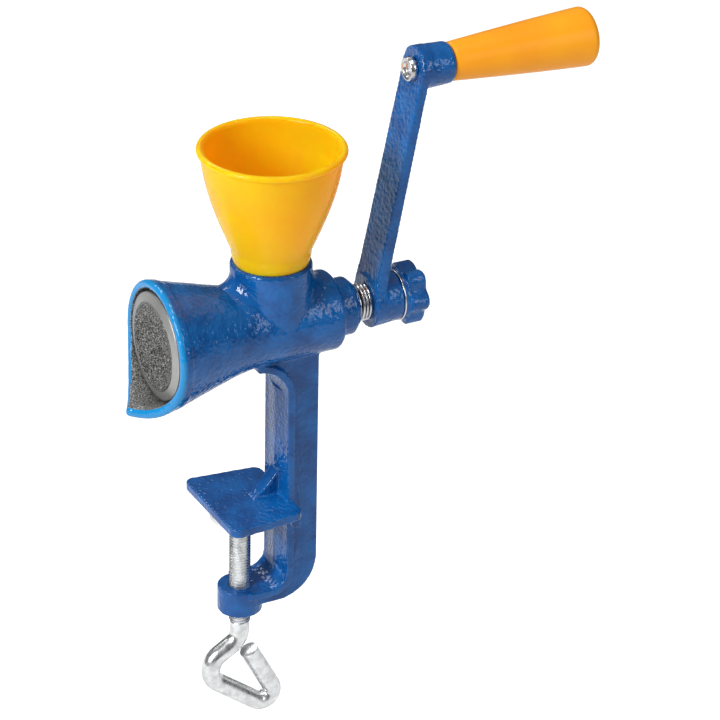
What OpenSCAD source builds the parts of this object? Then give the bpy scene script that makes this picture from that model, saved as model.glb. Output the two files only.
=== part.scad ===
// Hand-cranked seed mill with a table clamp.
// Millimetres, +Z up. The origin lies on the underside of the table jaw, on the clamp screw's axis.
// The spindle runs along X: the mouth is at -X and the crank at +X.

/* [Frame] */
// Height of the spindle's axis above the underside of the jaw
spindle_height = 110.4; // [100:0.2:125]
// Distance along X from the clamp screw's axis to the hopper's axis
hopper_offset = 17.8; // [14:0.2:22]
// Smoothness of round edges
round_steps = 96; // [48:8:128]

/* [Barrel] */
// Outer radius of the straight part of the barrel
barrel_r = 22.4; // [21.4:0.2:25]
// Radius gained for each millimetre along the flared part
flare_slope = 0.285; // [0.22:0.005:0.32]
// Length from the hopper's axis forward to where the flare starts
flare_start = 19; // [14:0.5:24]
// Softness of the change from the straight part to the flare
flare_blend = 9; // [4:0.5:14]
// Length from the hopper's axis forward to the mouth bead's centre
mouth_reach = 66.8; // [62:0.2:74]
// Length from the hopper's axis back to the barrel's rear end
tail_reach = 36; // [33:0.5:42]
// Radius that rounds the rear end of the barrel
tail_round = 3; // [1:0.5:5]
// Outer radius of the rear neck that holds the bush
neck_r = 16.2; // [14.5:0.2:18]
// Length of the rear neck
neck_length = 13; // [10:0.5:18]
// Chamfer on the end of the rear neck
neck_chamfer = 3.5; // [1:0.5:4.5]
// Radius of the bore in which the feed worm turns
worm_bore_r = 18.6; // [17:0.2:19.2]
// Length from the hopper's axis back to the rear wall of the worm's bore
worm_bore_back = 17; // [16:0.5:22]

/* [Mouth] */
// Radius of the mouth's machined bore
mouth_bore_r = 31.6; // [31:0.2:33]
// Radius of the rolled bead round the mouth
bead_r = 2.5; // [2:0.1:3.5]
// How far the spout at the bottom of the mouth stands forward of its sides
spout_reach = 16; // [8:0.5:20]
// Growth of the bead's radius for each mm that the spout reaches forward
bead_growth = 0.05; // [0:0.01:0.08]
// Outward slope of the spout's wall
spout_flare = 0.08; // [0:0.005:0.12]
// Width of the thickened band behind the bead
mouth_band = 4.5; // [2:0.5:8]
// Height of the thickened band over the flare
mouth_band_rise = 0.5; // [0.2:0.1:1]
// Stations round the bead
bead_stations = 64; // [32:4:96]

/* [Hopper collar] */
// Outer radius of the collar
collar_r = 22.4; // [21.4:0.2:24]
// Height of the collar's top over the spindle's axis
collar_top = 36.9; // [34:0.2:40]
// Rounding of the collar's top edge
collar_round = 1.6; // [0.5:0.1:2.5]
// Radius of the cast fillet between the collar and the barrel
saddle_fillet = 9; // [5:0.5:14]

// Radius of the hole through which seed falls to the worm
feed_hole_r = 15.4; // [12:0.1:16]

/* [Hopper] */
// Radius of the spigot that drops into the collar
spigot_r = 18.4; // [16:0.1:19]
// Length of the spigot below the shoulder
spigot_length = 11; // [6:0.5:11]
// Radius of the shoulder that rests on the collar
shoulder_r = 20.4; // [19.6:0.1:21.6]
// Height of the straight foot of the bowl
bowl_foot = 8; // [4:0.5:14]
// Radius gained over that foot
bowl_foot_rise = 1.5; // [0.5:0.1:3]
// Outer radius of the bowl under the rim
bowl_r = 38.4; // [34:0.2:44]
// Height of the hopper over its shoulder
hopper_height = 65; // [55:0.5:80]
// Wall of the hopper
hopper_wall = 2.2; // [1.6:0.1:2.6]
// Radius of the rolled rim's bead
rim_r = 1.9; // [1.2:0.1:2.5]

/* [Burr set] */
// Outer radius of the rotor's rim
rotor_r = 29.85; // [28.5:0.05:30.2]
// How far the rotor's face stands in front of the bead's centre
rotor_proud = 1.5; // [0.5:0.1:2.5]
// Radius of the dished hollow in the rotor's front
dish_r = 23.6; // [18:0.2:25]
// Depth of the dished hollow
dish_depth = 9; // [4:0.5:11]
// Length of the rotor's cone
rotor_length = 19; // [16:0.5:22]
// Radius of the rotor's small end
rotor_small_r = 17.4; // [15:0.1:18]
// Length of the rotor's hub behind its cone
rotor_hub_length = 7; // [5:0.5:9]
// Width of the plain machined rim of the rotor
rotor_rim = 3; // [2:0.1:4]
// Radius of the rotor's hub
rotor_hub_r = 10; // [9:0.1:12]
// Teeth round the rotor
rotor_teeth = 24; // [16:2:30]
// Teeth round the fixed ring
ring_teeth = 30; // [20:2:36]
// Depth of the grinding teeth
tooth_depth = 1.4; // [0.8:0.1:1.8]
// Running gap between rotor and ring along X at rest
burr_gap = 0.6; // [0.4:0.1:1.2]
// Length of the fixed ring
ring_length = 13; // [10:0.5:14]

// Clearance of pieces that are seated tight
seat_clearance = 0.03; // [0.01:0.01:0.1]
// Pins that hold the fixed ring
ring_pin_count = 3; // [2:1:6]
// Radius of those pins
ring_pin_r = 1.2; // [0.8:0.1:1.5]
// Radius of the circle on which those pins lie
ring_pin_circle = 24.3; // [23.8:0.1:25]
// Depth of those pins in the ring and in the casting
ring_pin_depth = 3.5; // [2:0.5:5]

/* [Worm and spindle] */
// Radius of the spindle's journal
spindle_r = 6; // [5:0.1:7]
// Length of the spindle inside the rotor and its hub
spindle_grip = 15; // [10:0.5:16]
// Outer radius of the bush in the neck
bush_r = 9; // [8:0.1:10]
// Running clearance of the worm in its bore
worm_clearance = 0.4; // [0.2:0.1:0.8]
// Radius of the worm's core
worm_core_r = 11; // [9.5:0.1:12]
// Lead of the worm
worm_lead = 26; // [18:1:30]
// Thickness of the worm's flight at its root
flight_root = 7; // [5:0.5:9]
// Thickness of the worm's flight at its tip
flight_tip = 3.6; // [2.5:0.1:5]
// Across flats of the square that drives the crank
square_af = 9; // [8:0.1:10]
// Radius of the thread on the spindle's end
thread_r = 4; // [3.5:0.1:4.4]
// Radial clearance of running fits
running_clearance = 0.05; // [0.02:0.01:0.1]
// Radius of the pins that lock the rotor and the worm on the spindle
pin_r = 1.5; // [1:0.1:2]

// Distance from the worm's rear end to its pin
worm_pin_inset = 5; // [3:0.5:8]
// Length of the spindle's thread beyond the hub
thread_length = 9; // [7.5:0.5:10]

/* [Spring and washers] */
// Wire diameter of the spring
spring_wire = 1.6; // [1.2:0.1:2]
// Mean radius of the spring
spring_mean_r = 9.6; // [9:0.1:10.5]
// Length of the spring at rest
spring_length = 7.7; // [6.5:0.1:12]
// Turns of the spring
spring_turns = 3; // [2:0.5:4]
// Thickness of the washers
washer_t = 0.8; // [0.6:0.1:1.5]
// Outer radius of the washer between the spring and the neck
neck_washer_r = 11.4; // [11.2:0.1:12.4]

/* [Crank] */
// How far the knob can draw the crank along the spindle
crank_travel = 2; // [1:0.1:2.4]
// Length of the crank from the spindle's axis to the grip's axis
crank_length = 133.2; // [110:0.2:150]
// Distance that the arm leans out along X at the grip's axis
crank_lean = 25.5; // [15:0.5:30]
// Height over the spindle at which the arm starts to lean
arm_knee = 10; // [6:1:16]
// Height over the spindle at which the arm has its plain width
arm_flare = 28; // [20:1:36]
// Thickness of the arm along X at the eye
arm_t = 7; // [5:0.1:9]
// Thickness of the arm along X at the grip
arm_top_t = 5; // [4:0.1:7]
// Radius of the arm's eye on the spindle
eye_r = 14.6; // [13:0.1:17]
// Width of the arm
arm_w = 23; // [18:0.5:27]
// Length of the hub behind the eye
hub_length = 10.5; // [8:0.5:14]
// Radius of the hub
hub_r = 14.5; // [13.5:0.1:16]
// Radius of the boss that carries the grip
boss_r = 12.4; // [10:0.1:14]
// Length from the eye's face to the end of the grip's boss
boss_reach = 46.7; // [42:0.5:52]

/* [Grip] */
// Radius of the grip where it meets the boss
grip_neck_r = 10.6; // [9:0.1:12]
// Rounding of the grip's end
grip_round = 4; // [4:0.5:10]
// Largest radius of the grip
grip_r = 16.4; // [14:0.1:19]
// Length of the grip
grip_length = 86.2; // [70:0.5:100]
// Radius of the bolt that the grip turns on
bolt_r = 4; // [3:0.1:5]
// Radius of the bolt's head
bolt_head_r = 6.8; // [5.8:0.1:8]
// Thickness of the bolt's head
bolt_head_t = 3.4; // [2.5:0.1:4.5]
// Across flats of the nuts
nut_af = 13; // [11:0.5:14]
// Thickness of the nut in the grip's end
nut_t = 6; // [4:0.5:8]

// Depth of the hole in the grip's end that hides the nut
nut_recess = 11; // [9:0.5:14]

/* [Adjusting knob] */
// Radius over the knob's lobes
knob_r = 17.3; // [16.5:0.1:20]
// Depth of the valleys between the lobes
knob_valley = 3.6; // [2:0.1:4.5]
// Lobes of the knob
knob_lobes = 6; // [5:1:8]
// Length of the lobed part
knob_length = 11; // [8:0.5:14]
// Angle that turns the lobes round the spindle
knob_phase = 33; // [0:1:60]
// Depth of the hole in the knob
knob_depth = 12; // [11.5:0.1:13]
// Radius of the knob's skirt
skirt_r = 14.6; // [13.5:0.1:15.4]
// Length of the knob's skirt
skirt_length = 2.6; // [1.5:0.1:4]
// Pitch of the knob's thread
knob_pitch = 1.25; // [1:0.05:1.5]

/* [Clamp body] */
// Distance from the clamp screw's axis to the front face of the stem
throat_depth = 21.8; // [18:0.2:26]
// Width of the stem's front flange
flange_w = 30; // [27:0.5:34]
// Thickness of the stem's front flange
flange_t = 4.2; // [2.5:0.1:5]
// Width of the stem's web
web_w = 22; // [16:0.5:25]
// Depth of the stem along X
stem_depth = 20.5; // [17:0.5:25]
// Radius of the arch where the stem meets the barrel
arch_r = 18; // [12:0.5:20]
// Depth of the lower arm below the boss's top
arm_depth = 10.2; // [8:0.2:12]
// Radius of the inner corner of the lower arm
inner_corner_r = 9.5; // [6:0.5:14]
// Radius of the outer corner of the lower arm
outer_corner_r = 24.2; // [20:0.2:26]
// Height from the jaw's underside down to the boss's top
clamp_opening = 49.7; // [44:0.2:60]
// Radius of the boss that the clamp screw runs in
clamp_boss_r = 12.6; // [11:0.1:15]
// Height of that boss
clamp_boss_h = 15.3; // [12:0.1:18]
// Height of the ridge along the middle of the stem's front
ridge_h = 1.2; // [0.5:0.1:2]

/* [Jaw] */
// Length of the jaw along X
jaw_l = 44.6; // [38:0.2:52]
// Width of the jaw along Y at its front edge
jaw_w = 66; // [52:0.5:76]
// Width of the jaw along Y at its rear edge
jaw_rear_w = 57.5; // [48:0.5:70]
// Thickness of the jaw
jaw_t = 5; // [4:0.1:7]
// Corner radius of the jaw
jaw_corner = 5; // [2:0.5:8]
// Length of the jaw that lies in front of the clamp screw's axis
jaw_front = 19.4; // [16:0.2:24]
// Height of the triangular rib over the jaw
rib_h = 16; // [10:0.5:30]
// Length of the triangular rib along X
rib_l = 16; // [10:0.5:28]
// Hollow of the rib's sloping edge: 0 is straight
rib_sag = 0.5; // [0:0.05:0.8]
// Thickness of the triangular rib
rib_t = 9; // [5:0.5:12]
// Depth of the stops under the jaw's rear corners
stop_h = 7; // [4:0.5:10]
// Thickness of those stops
stop_t = 4.4; // [2:0.1:6]

/* [Clamp screw] */
// Radius of the clamp screw's rod
screw_r = 6; // [5:0.1:7]
// Gap between the jaw and the pad at rest
pad_gap = 2.6; // [2.2:0.1:8]
// Radius of the swivelling pad
pad_r = 17; // [14:0.1:20]
// Thickness of the pad's disc
pad_t = 3.6; // [3.2:0.1:5]
// Length of the pad's hub
pad_hub_h = 5; // [4:0.5:8]
// Radius of the rod's turned neck inside the pad
pad_neck_r = 3.6; // [3:0.1:4.5]
// Radius of the riveted head that holds the pad
pad_head_r = 5.4; // [4.8:0.1:6]
// Radius of the plain rod that is bent into the handle
rod_r = 5.4; // [4.6:0.1:6]
// Length of thread that shows under the boss
thread_tail = 9.4; // [5:0.2:12]
// Straight rod between the boss and the corner where the handle begins
rod_tail = 20.4; // [16:0.2:26]
// Distance of the handle's left corner from the rod's axis
handle_left = 26.4; // [22:0.1:32]
// Drop from the handle's beginning to its left corner
handle_left_drop = 15.7; // [12:0.1:20]
// Distance from the rod's axis to the point where the two long legs would meet
handle_point = 33.1; // [28:0.1:40]
// Drop from the handle's beginning to that point
handle_point_drop = 61.4; // [54:0.1:70]
// Distance of the handle's cut end from the rod's axis
handle_end = 5.7; // [4:0.1:9]
// Drop from the handle's beginning to its cut end
handle_end_drop = 9.3; // [6:0.1:12]
// Bend radius of the first two bends at the rod's centreline
bend_r = 11; // [7:0.2:12]
// Bend radius of the sharp last bend at the rod's centreline
point_bend_r = 6.4; // [5.8:0.1:8]
// Steps through each bend
bend_steps = 11; // [6:1:16]

/* [Hidden] */

// Small overlap that makes neighbouring volumes of one casting one solid
fuse = 0.5;

hopper_x = hopper_offset;
mouth_x = hopper_x - mouth_reach;
tail_x = hopper_x + tail_reach;
neck_x = tail_x + neck_length;
worm_back_x = hopper_x + worm_bore_back;
flare_x = hopper_x - flare_start;

rotor_x = mouth_x - rotor_proud;
rotor_back_x = rotor_x + rotor_length;
rotor_slope = (rotor_r - rotor_small_r) / (rotor_length - rotor_rim);
ring_front_x = rotor_back_x - ring_length;
hub_back_x = rotor_back_x + rotor_hub_length;
spindle_front_x = hub_back_x - spindle_grip;
worm_end_x = worm_back_x - worm_clearance;

spring_x = neck_x + washer_t;
eye_x = spring_x + spring_length;
square_x = eye_x - crank_travel - 0.3;
hub_x = eye_x + arm_t;
hub_end_x = hub_x + hub_length;
square_end_x = hub_end_x - crank_travel - 0.4;
knob_x = hub_end_x + washer_t;
thread_end_x = knob_x + thread_length;
grip_axis_z = spindle_height + crank_length;
head_seat_x = eye_x + crank_lean - 0.4;
boss_end_x = eye_x + boss_reach;
grip_x = boss_end_x + 0.3;
grip_end_x = grip_x + grip_length;
nut_floor_x = grip_end_x - nut_recess;
bolt_end_x = nut_floor_x + 0.1 + washer_t + nut_t + 1;

collar_z = spindle_height + collar_top;
stem_back = throat_depth + stem_depth;
boss_top_z = -clamp_opening;
boss_bottom_z = boss_top_z - clamp_boss_h;
pad_top_z = -pad_gap;
pad_head_h = pad_t - 1.4;

// Radius of the barrel's outside at a place x: straight at the back, flared towards the mouth
function barrel_at(x) =
    barrel_r + flare_slope * ((flare_x - x) + sqrt(pow(flare_x - x, 2) + pow(flare_blend, 2))) / 2;

// Points of an arc in the plane
function arc(cx, cy, r, from, to, steps) =
    [for (i = [0:steps]) let (a = from + (to - from) * i / steps) [cx + r * cos(a), cy + r * sin(a)]];

// Points turned end for end
function backwards(points) = [for (i = [len(points) - 1:-1:0]) points[i]];

// Forward reach of the mouth's edge at an angle round the spindle: level at the sides, longest at the bottom
function spout_at(a) = spout_reach * pow(asin(max(0, -sin(a))) / 90, 2);

// Places its children so that their Z axis runs along the spindle, from x
module along_spindle(x) {
    translate([x, 0, spindle_height]) rotate([0, 90, 0]) children();
}

// A straight round bar along the spindle
module bar(x, length, r) {
    along_spindle(x) cylinder(h = length, r = r, $fn = round_steps);
}

// Faces of a closed sweep: rings of points joined in a loop
function loop_faces(rings, points) = [
    for (i = [0:rings - 1], j = [0:points - 1])
        let (i2 = (i + 1) % rings, j2 = (j + 1) % points)
        each [[i * points + j, i2 * points + j, i2 * points + j2],
              [i * points + j, i2 * points + j2, i * points + j2]]
];

// Faces of an open sweep with flat ends
function strip_faces(rings, points) = concat(
    [for (i = [0:rings - 2], j = [0:points - 1])
        let (j2 = (j + 1) % points)
        each [[i * points + j, (i + 1) * points + j, (i + 1) * points + j2],
              [i * points + j, (i + 1) * points + j2, i * points + j2]]],
    [[for (j = [0:points - 1]) j]],
    [[for (j = [points - 1:-1:0]) (rings - 1) * points + j]]
);

// Outside of the barrel, with the rounded rear end and the chamfered neck, as one turned body
module barrel_body() {
    front = mouth_x + mouth_band / 2;
    steps = 22;
    flare = [for (i = [0:steps]) let (x = front + (tail_x - 20 - front) * i / steps) [barrel_at(x), x]];
    shoulder = arc(barrel_r - tail_round, tail_x - tail_round, tail_round, 0, 90, 6);
    neck = [[neck_r, tail_x], [neck_r, neck_x - neck_chamfer], [neck_r - neck_chamfer, neck_x]];
    outline = concat([[0, front]], flare, shoulder, neck, [[0, neck_x]]);
    along_spindle(0) rotate_extrude($fn = round_steps) polygon(outline);
}

// Rolled bead and spout round the mouth: one section swept round the spindle's axis
module mouth_bead() {
    back_x = mouth_x + mouth_band;
    inner_r = mouth_bore_r - 1;
    sections = [for (i = [0:bead_stations - 1])
        let (a = -360 * i / bead_stations,
             reach = spout_at(a),
             front_x = mouth_x - reach,
             lip_r = bead_r + bead_growth * reach,
             centre_r = mouth_bore_r + lip_r - 0.35 + spout_flare * reach)
        concat(
            [[back_x, inner_r], [front_x, inner_r + spout_flare * reach]],
            arc(front_x, centre_r, lip_r, 270, 60, 8),
            [[back_x, barrel_at(back_x) + mouth_band_rise]])];
    count = len(sections[0]);
    points = [for (i = [0:bead_stations - 1], p = sections[i])
        let (a = -360 * i / bead_stations) [p[0], p[1] * cos(a), p[1] * sin(a)]];
    translate([0, 0, spindle_height])
        polyhedron(points, loop_faces(bead_stations, count), convexity = 6);
}

// Cast fillet in the saddle between the collar and the barrel, as a ball rolled between the two.
// Its skin sinks into the casting towards both ends.
module saddle(side, barrel_radius) {
    ball_r = saddle_fillet;
    stations = 16;
    spread = 62;
    sink_from = 40;
    sink = 1.8;
    steps = 6;
    sections = [for (i = [0:stations])
        let (turn = -spread + 2 * spread * i / stations,
             cx = (collar_r + ball_r) * cos(turn),
             cy = (collar_r + ball_r) * sin(turn),
             cz = sqrt(pow(barrel_radius + ball_r, 2) - cy * cy),
             to_collar = [-cos(turn), -sin(turn), 0],
             to_barrel = [0, -cy, -cz] / (barrel_radius + ball_r),
             opening = acos(to_collar * to_barrel),
             middle = (to_collar + to_barrel) / norm(to_collar + to_barrel),
             centre = [cx, cy, cz],
             ending = max(0, abs(turn) - sink_from) / (spread - sink_from),
             skin_r = ball_r + 0.2 + sink * ending * ending)
        concat(
            [for (k = [0:steps])
                let (w = k / steps,
                     direction = (sin(opening * (1 - w)) * to_collar + sin(opening * w) * to_barrel)
                         / sin(opening))
                centre + skin_r * direction],
            [centre + (ball_r + 2.5) * to_barrel,
             centre + (ball_r / cos(opening / 2) + 3) * middle,
             centre + (ball_r + 2.5) * to_collar])];
    points = [for (section = sections, p = section) p];
    translate([hopper_x, 0, spindle_height]) mirror([side < 0 ? 1 : 0, 0, 0])
        polyhedron(points, strip_faces(stations + 1, len(sections[0])), convexity = 6);
}

// Inside line of the clamp body, from the barrel down to the boss, moved outward by d
function throat_line(d) =
    let (face = throat_depth,
         arch_z = spindle_height - barrel_r - arch_r,
         corner_z = boss_top_z + inner_corner_r)
    concat(
        arc(face - arch_r, arch_z, arch_r + d, 90, 0, 9),
        arc(face - inner_corner_r, corner_z, inner_corner_r + d, 0, -90, 7),
        [[0, boss_top_z - d]]);

// Outside line of the clamp body, from the boss up to the barrel
function back_line() =
    let (bottom = boss_top_z - arm_depth)
    concat(
        [[0, bottom]],
        arc(stem_back - outer_corner_r, bottom + outer_corner_r, outer_corner_r, -90, 0, 8),
        [[stem_back, spindle_height]]);

// Extrudes a side outline (X, Z) to a width centred on Y
module slab(width) {
    rotate([90, 0, 0]) linear_extrude(height = width, center = true) children();
}

// C-shaped stem and lower arm: a web, a flange along its inside and the boss of the clamp screw
module clamp_body() {
    top = [throat_depth - arch_r, spindle_height];
    slab(web_w) polygon(concat([top], throat_line(flange_t / 2), back_line()));
    slab(flange_w) polygon(concat(throat_line(0), backwards(throat_line(flange_t))));
    translate([0, 0, boss_bottom_z]) cylinder(h = clamp_boss_h, r = clamp_boss_r, $fn = round_steps);
    ridge_bottom = boss_top_z + inner_corner_r;
    ridge_top = spindle_height - barrel_r - arch_r;
    translate([throat_depth, 0, ridge_bottom]) linear_extrude(height = ridge_top - ridge_bottom)
        polygon([[fuse, -flange_w / 2 + 1], [fuse, flange_w / 2 - 1], [-ridge_h, 0]]);
}

// Table jaw with its rounded corners, the rib over it and the stops under its rear corners
module jaw() {
    rear = jaw_l - jaw_front;
    plate = [
        [-jaw_front, -jaw_w / 2],
        [rear, -jaw_rear_w / 2],
        [rear, jaw_rear_w / 2],
        [-jaw_front, jaw_w / 2]
    ];
    linear_extrude(height = jaw_t) polygon(round_corners(plate, jaw_corner));
    rib_steps = 6;
    slab(rib_t) polygon(concat(
        [[throat_depth - rib_l, jaw_t - fuse], [throat_depth + fuse, jaw_t - fuse],
         [throat_depth + fuse, jaw_t + rib_h]],
        [for (i = [rib_steps:-1:0]) let (t = i / rib_steps)
            [throat_depth - rib_l * (1 - t), jaw_t + rib_h * t * (rib_sag * t + 1 - rib_sag)]]));
    stop_w = (jaw_rear_w - 2 * jaw_corner - flange_w) / 2 + 3 * fuse;
    for (side = [-1, 1])
        translate([rear - stop_t / 2, side * (flange_w / 2 - fuse + stop_w / 2), (fuse - stop_h) / 2])
            cube([stop_t, stop_w, stop_h + fuse], center = true);
}

// Corners of a flat outline, listed anticlockwise, each replaced by an arc
function round_corners(outline, r) = [for (i = [0:len(outline) - 1], k = [0:6])
    let (p = outline[i],
         before = outline[(i + len(outline) - 1) % len(outline)] - p,
         after = outline[(i + 1) % len(outline)] - p,
         u = before / norm(before),
         v = after / norm(after),
         half = acos(u * v) / 2,
         centre = p + r / sin(half) * (u + v) / norm(u + v),
         start = atan2(u[1], u[0]) + 90,
         turn = 180 - 2 * half,
         a = start + turn * k / 6)
    centre + r * [cos(a), sin(a)]];

// Conical seat of the fixed ring, parallel to the flare: radius at a place x
function ring_seat_at(x) = mouth_bore_r - flare_slope * (x - ring_front_x);

// Radius of the rotor's cone at a place x
function rotor_at(x) = min(rotor_r, rotor_r - rotor_slope * (x - rotor_x - rotor_rim));

// A straight row of round bars spaced evenly round the spindle
module round_spindle(count, radius) {
    for (i = [0:count - 1])
        translate([0, 0, spindle_height]) rotate([360 * i / count + 90, 0, 0]) translate([0, radius, 0])
            children();
}

// Holes for the ring's pins, from x over a length
module pin_bars(x, length, r) {
    round_spindle(ring_pin_count, ring_pin_circle)
        translate([x, 0, 0]) rotate([0, 90, 0]) cylinder(h = length, r = r, $fn = round_steps);
}

// Cast body: barrel, hopper collar, mouth with spout, stem, table jaw and screw boss in one piece
module housing() {
    color("royalblue") difference() {
        union() {
            barrel_body();
            mouth_bead();
            collar();
            saddle(1, barrel_r);
            saddle(-1, barrel_at(hopper_x - collar_r - saddle_fillet / 2));
            clamp_body();
            jaw();
        }
        bar(mouth_x - spout_reach - 10, ring_front_x - mouth_x + spout_reach + 10, mouth_bore_r);
        along_spindle(ring_front_x - 0.01)
            cylinder(h = ring_length + 0.01, r1 = mouth_bore_r, r2 = ring_seat_at(rotor_back_x),
                $fn = round_steps);
        bar(rotor_back_x - 0.01, worm_back_x - rotor_back_x, worm_bore_r);
        bar(worm_back_x - 1, neck_x - worm_back_x + 2, bush_r);
        pin_bars(rotor_back_x - 1, ring_pin_depth + 1, ring_pin_r + running_clearance);
        translate([hopper_x, 0, spindle_height])
            cylinder(h = collar_top + 1, r = feed_hole_r, $fn = round_steps);
        translate([hopper_x, 0, collar_z - spigot_length - 0.3])
            cylinder(h = spigot_length + 2, r = spigot_r + 0.1, $fn = round_steps);
        translate([0, 0, boss_bottom_z - 1])
            cylinder(h = clamp_boss_h + 2, r = screw_r + running_clearance, $fn = round_steps);
    }
}

// Collar that holds the hopper, with its rounded top edge
module collar() {
    top = arc(collar_r - collar_round, collar_top - collar_round, collar_round, 0, 90, 5);
    translate([hopper_x, 0, spindle_height]) rotate_extrude($fn = round_steps)
        polygon(concat([[0, 0], [collar_r, 0]], top, [[0, collar_top]]));
}

// Outer radius of the hopper's bowl at a height over its shoulder
function bowl_at(h) =
    let (foot_r = shoulder_r + bowl_foot_rise,
         t = (h - bowl_foot) / (hopper_height - bowl_foot))
    h < bowl_foot ? shoulder_r + bowl_foot_rise * sin(90 * h / bowl_foot)
                  : foot_r + (bowl_r - foot_r) * (t + 0.8 * (sin(90 * t) - t));

// Plastic hopper: a bowl with a rolled rim, a shoulder on the collar and a spigot inside it
module hopper() {
    steps = 16;
    outside = [for (i = [0:steps]) let (h = (hopper_height - rim_r) * i / steps) [bowl_at(h), h]];
    inside = [for (i = [steps:-1:0]) let (h = hopper_height * i / steps)
        [bowl_at(h) - hopper_wall, h]];
    rim = arc(bowl_r + 0.1, hopper_height, rim_r, -90, 180, 10);
    outline = concat(
        [[spigot_r - hopper_wall, -spigot_length], [spigot_r, -spigot_length], [spigot_r, 0]],
        outside, rim, inside, [[spigot_r - hopper_wall, -2]]);
    color("orange") translate([hopper_x, 0, collar_z]) rotate_extrude($fn = round_steps) polygon(outline);
}

// Fixed grinding ring: a tapered seat outside and a toothed cone inside
module burr_ring() {
    shift = burr_gap * rotor_slope;
    cone_angle = atan(rotor_slope);
    color("dimgray") difference() {
        along_spindle(ring_front_x) cylinder(h = ring_length, r1 = mouth_bore_r - seat_clearance,
            r2 = ring_seat_at(rotor_back_x) - seat_clearance, $fn = round_steps);
        along_spindle(ring_front_x - 1) cylinder(h = ring_length + 2,
            r1 = rotor_at(ring_front_x - 1) + shift, r2 = rotor_at(rotor_back_x + 1) + shift,
            $fn = round_steps);
        round_spindle(ring_teeth, rotor_at(ring_front_x) + shift)
            translate([ring_front_x, 0, 0]) rotate([0, 0, -cone_angle]) rotate([45, 0, 0])
                cube([2.6 * ring_length, tooth_depth * sqrt(2), tooth_depth * sqrt(2)], center = true);
        pin_bars(rotor_back_x - ring_pin_depth, ring_pin_depth + 1, ring_pin_r + running_clearance);
    }
}

// Pins that stop the fixed ring from turning
module ring_pins() {
    color("silver") pin_bars(rotor_back_x - ring_pin_depth + 0.2, 2 * ring_pin_depth - 0.4, ring_pin_r);
}

// Rotor: a toothed cone with a machined rim, a dished front and a hub that the spindle enters
module burr_rotor() {
    cone_angle = atan(rotor_slope);
    steps = 7;
    lip_x = rotor_x - 1.7;
    dish = [for (i = [0:steps]) let (t = i / steps) [dish_r * t, lip_x + dish_depth * (1 - t * t)]];
    outline = concat(dish,
        [[rotor_r, rotor_x], [rotor_r, rotor_x + rotor_rim], [rotor_small_r, rotor_back_x],
         [rotor_hub_r, rotor_back_x], [rotor_hub_r, hub_back_x], [0, hub_back_x]]);
    color("gray") difference() {
        along_spindle(0) rotate_extrude($fn = round_steps) polygon(outline);
        bar(spindle_front_x - 0.3, hub_back_x - spindle_front_x + 1.3, spindle_r + running_clearance);
        round_spindle(rotor_teeth, rotor_r)
            translate([rotor_x + rotor_rim, 0, 0]) rotate([0, 0, -cone_angle]) rotate([45, 0, 0])
                translate([0.65 * rotor_length, 0, 0])
                    cube([1.3 * rotor_length, tooth_depth * sqrt(2), tooth_depth * sqrt(2)], center = true);
        cross_pin(rotor_back_x + rotor_hub_length / 2, rotor_hub_r + 1, pin_r + running_clearance);
    }
}

// Bar through the spindle along Y, centred at x
module cross_pin(x, half_length, r) {
    translate([x, 0, spindle_height]) rotate([90, 0, 0])
        cylinder(h = 2 * half_length, r = r, center = true, $fn = round_steps);
}

// Pin that locks the rotor on the spindle
module rotor_pin() {
    color("silver") cross_pin(rotor_back_x + rotor_hub_length / 2, rotor_hub_r - 0.3, pin_r);
}

// Pin that locks the worm on the spindle
module worm_pin() {
    color("silver") cross_pin(worm_end_x - worm_pin_inset, worm_core_r - 0.3, pin_r);
}

// Feed worm: core and helical flight in one twisted section, which carries seed from the hopper to the burrs
module feed_worm() {
    length = worm_end_x - hub_back_x;
    tip_r = worm_bore_r - worm_clearance;
    root_half = 180 * flight_root / worm_lead;
    tip_half = 180 * flight_tip / worm_lead;
    section = concat(
        arc(0, 0, tip_r, -tip_half, tip_half, 2),
        arc(0, 0, worm_core_r, root_half, 360 - root_half, 10));
    color("darkgray") difference() {
        along_spindle(hub_back_x)
            linear_extrude(height = length, twist = 360 * length / worm_lead, slices = 24, convexity = 8)
                polygon(section);
        bar(hub_back_x - 1, length + 2, spindle_r + running_clearance);
        cross_pin(worm_end_x - worm_pin_inset, worm_bore_r + 1, pin_r + running_clearance);
    }
}

// Steel spindle: journal, the square that drives the crank and the thread for the knob
module spindle() {
    color("silver") difference() {
        union() {
            bar(spindle_front_x, square_x - spindle_front_x, spindle_r);
            intersection() {
                bar(square_x - 1, square_end_x - square_x + 1, spindle_r);
                translate([square_x - 1, -square_af / 2, spindle_height - square_af / 2])
                    cube([square_end_x - square_x + 1, square_af, square_af]);
            }
            bar(square_end_x - 1, thread_end_x - square_end_x + 1, thread_r);
        }
        cross_pin(rotor_back_x + rotor_hub_length / 2, spindle_r + 1, pin_r + running_clearance);
        cross_pin(worm_end_x - worm_pin_inset, spindle_r + 1, pin_r + running_clearance);
    }
}

// Bush that carries the spindle in the neck
module rear_bush() {
    color("peru") along_spindle(worm_back_x) difference() {
        cylinder(h = neck_x - worm_back_x, r = bush_r - seat_clearance, $fn = round_steps);
        translate([0, 0, -1])
            cylinder(h = neck_x - worm_back_x + 2, r = spindle_r + running_clearance, $fn = round_steps);
    }
}

// Flat ring along the spindle
module washer(x, outer, inner) {
    color("silver") along_spindle(x) difference() {
        cylinder(h = washer_t, r = outer, $fn = round_steps);
        translate([0, 0, -1]) cylinder(h = washer_t + 2, r = inner, $fn = round_steps);
    }
}

// Washer between the neck and the spring
module neck_washer() {
    washer(neck_x, neck_washer_r, spindle_r + 0.2);
}

// Washer between the crank's hub and the knob
module knob_washer() {
    washer(hub_end_x, hub_r, thread_r + 0.2);
}

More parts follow.
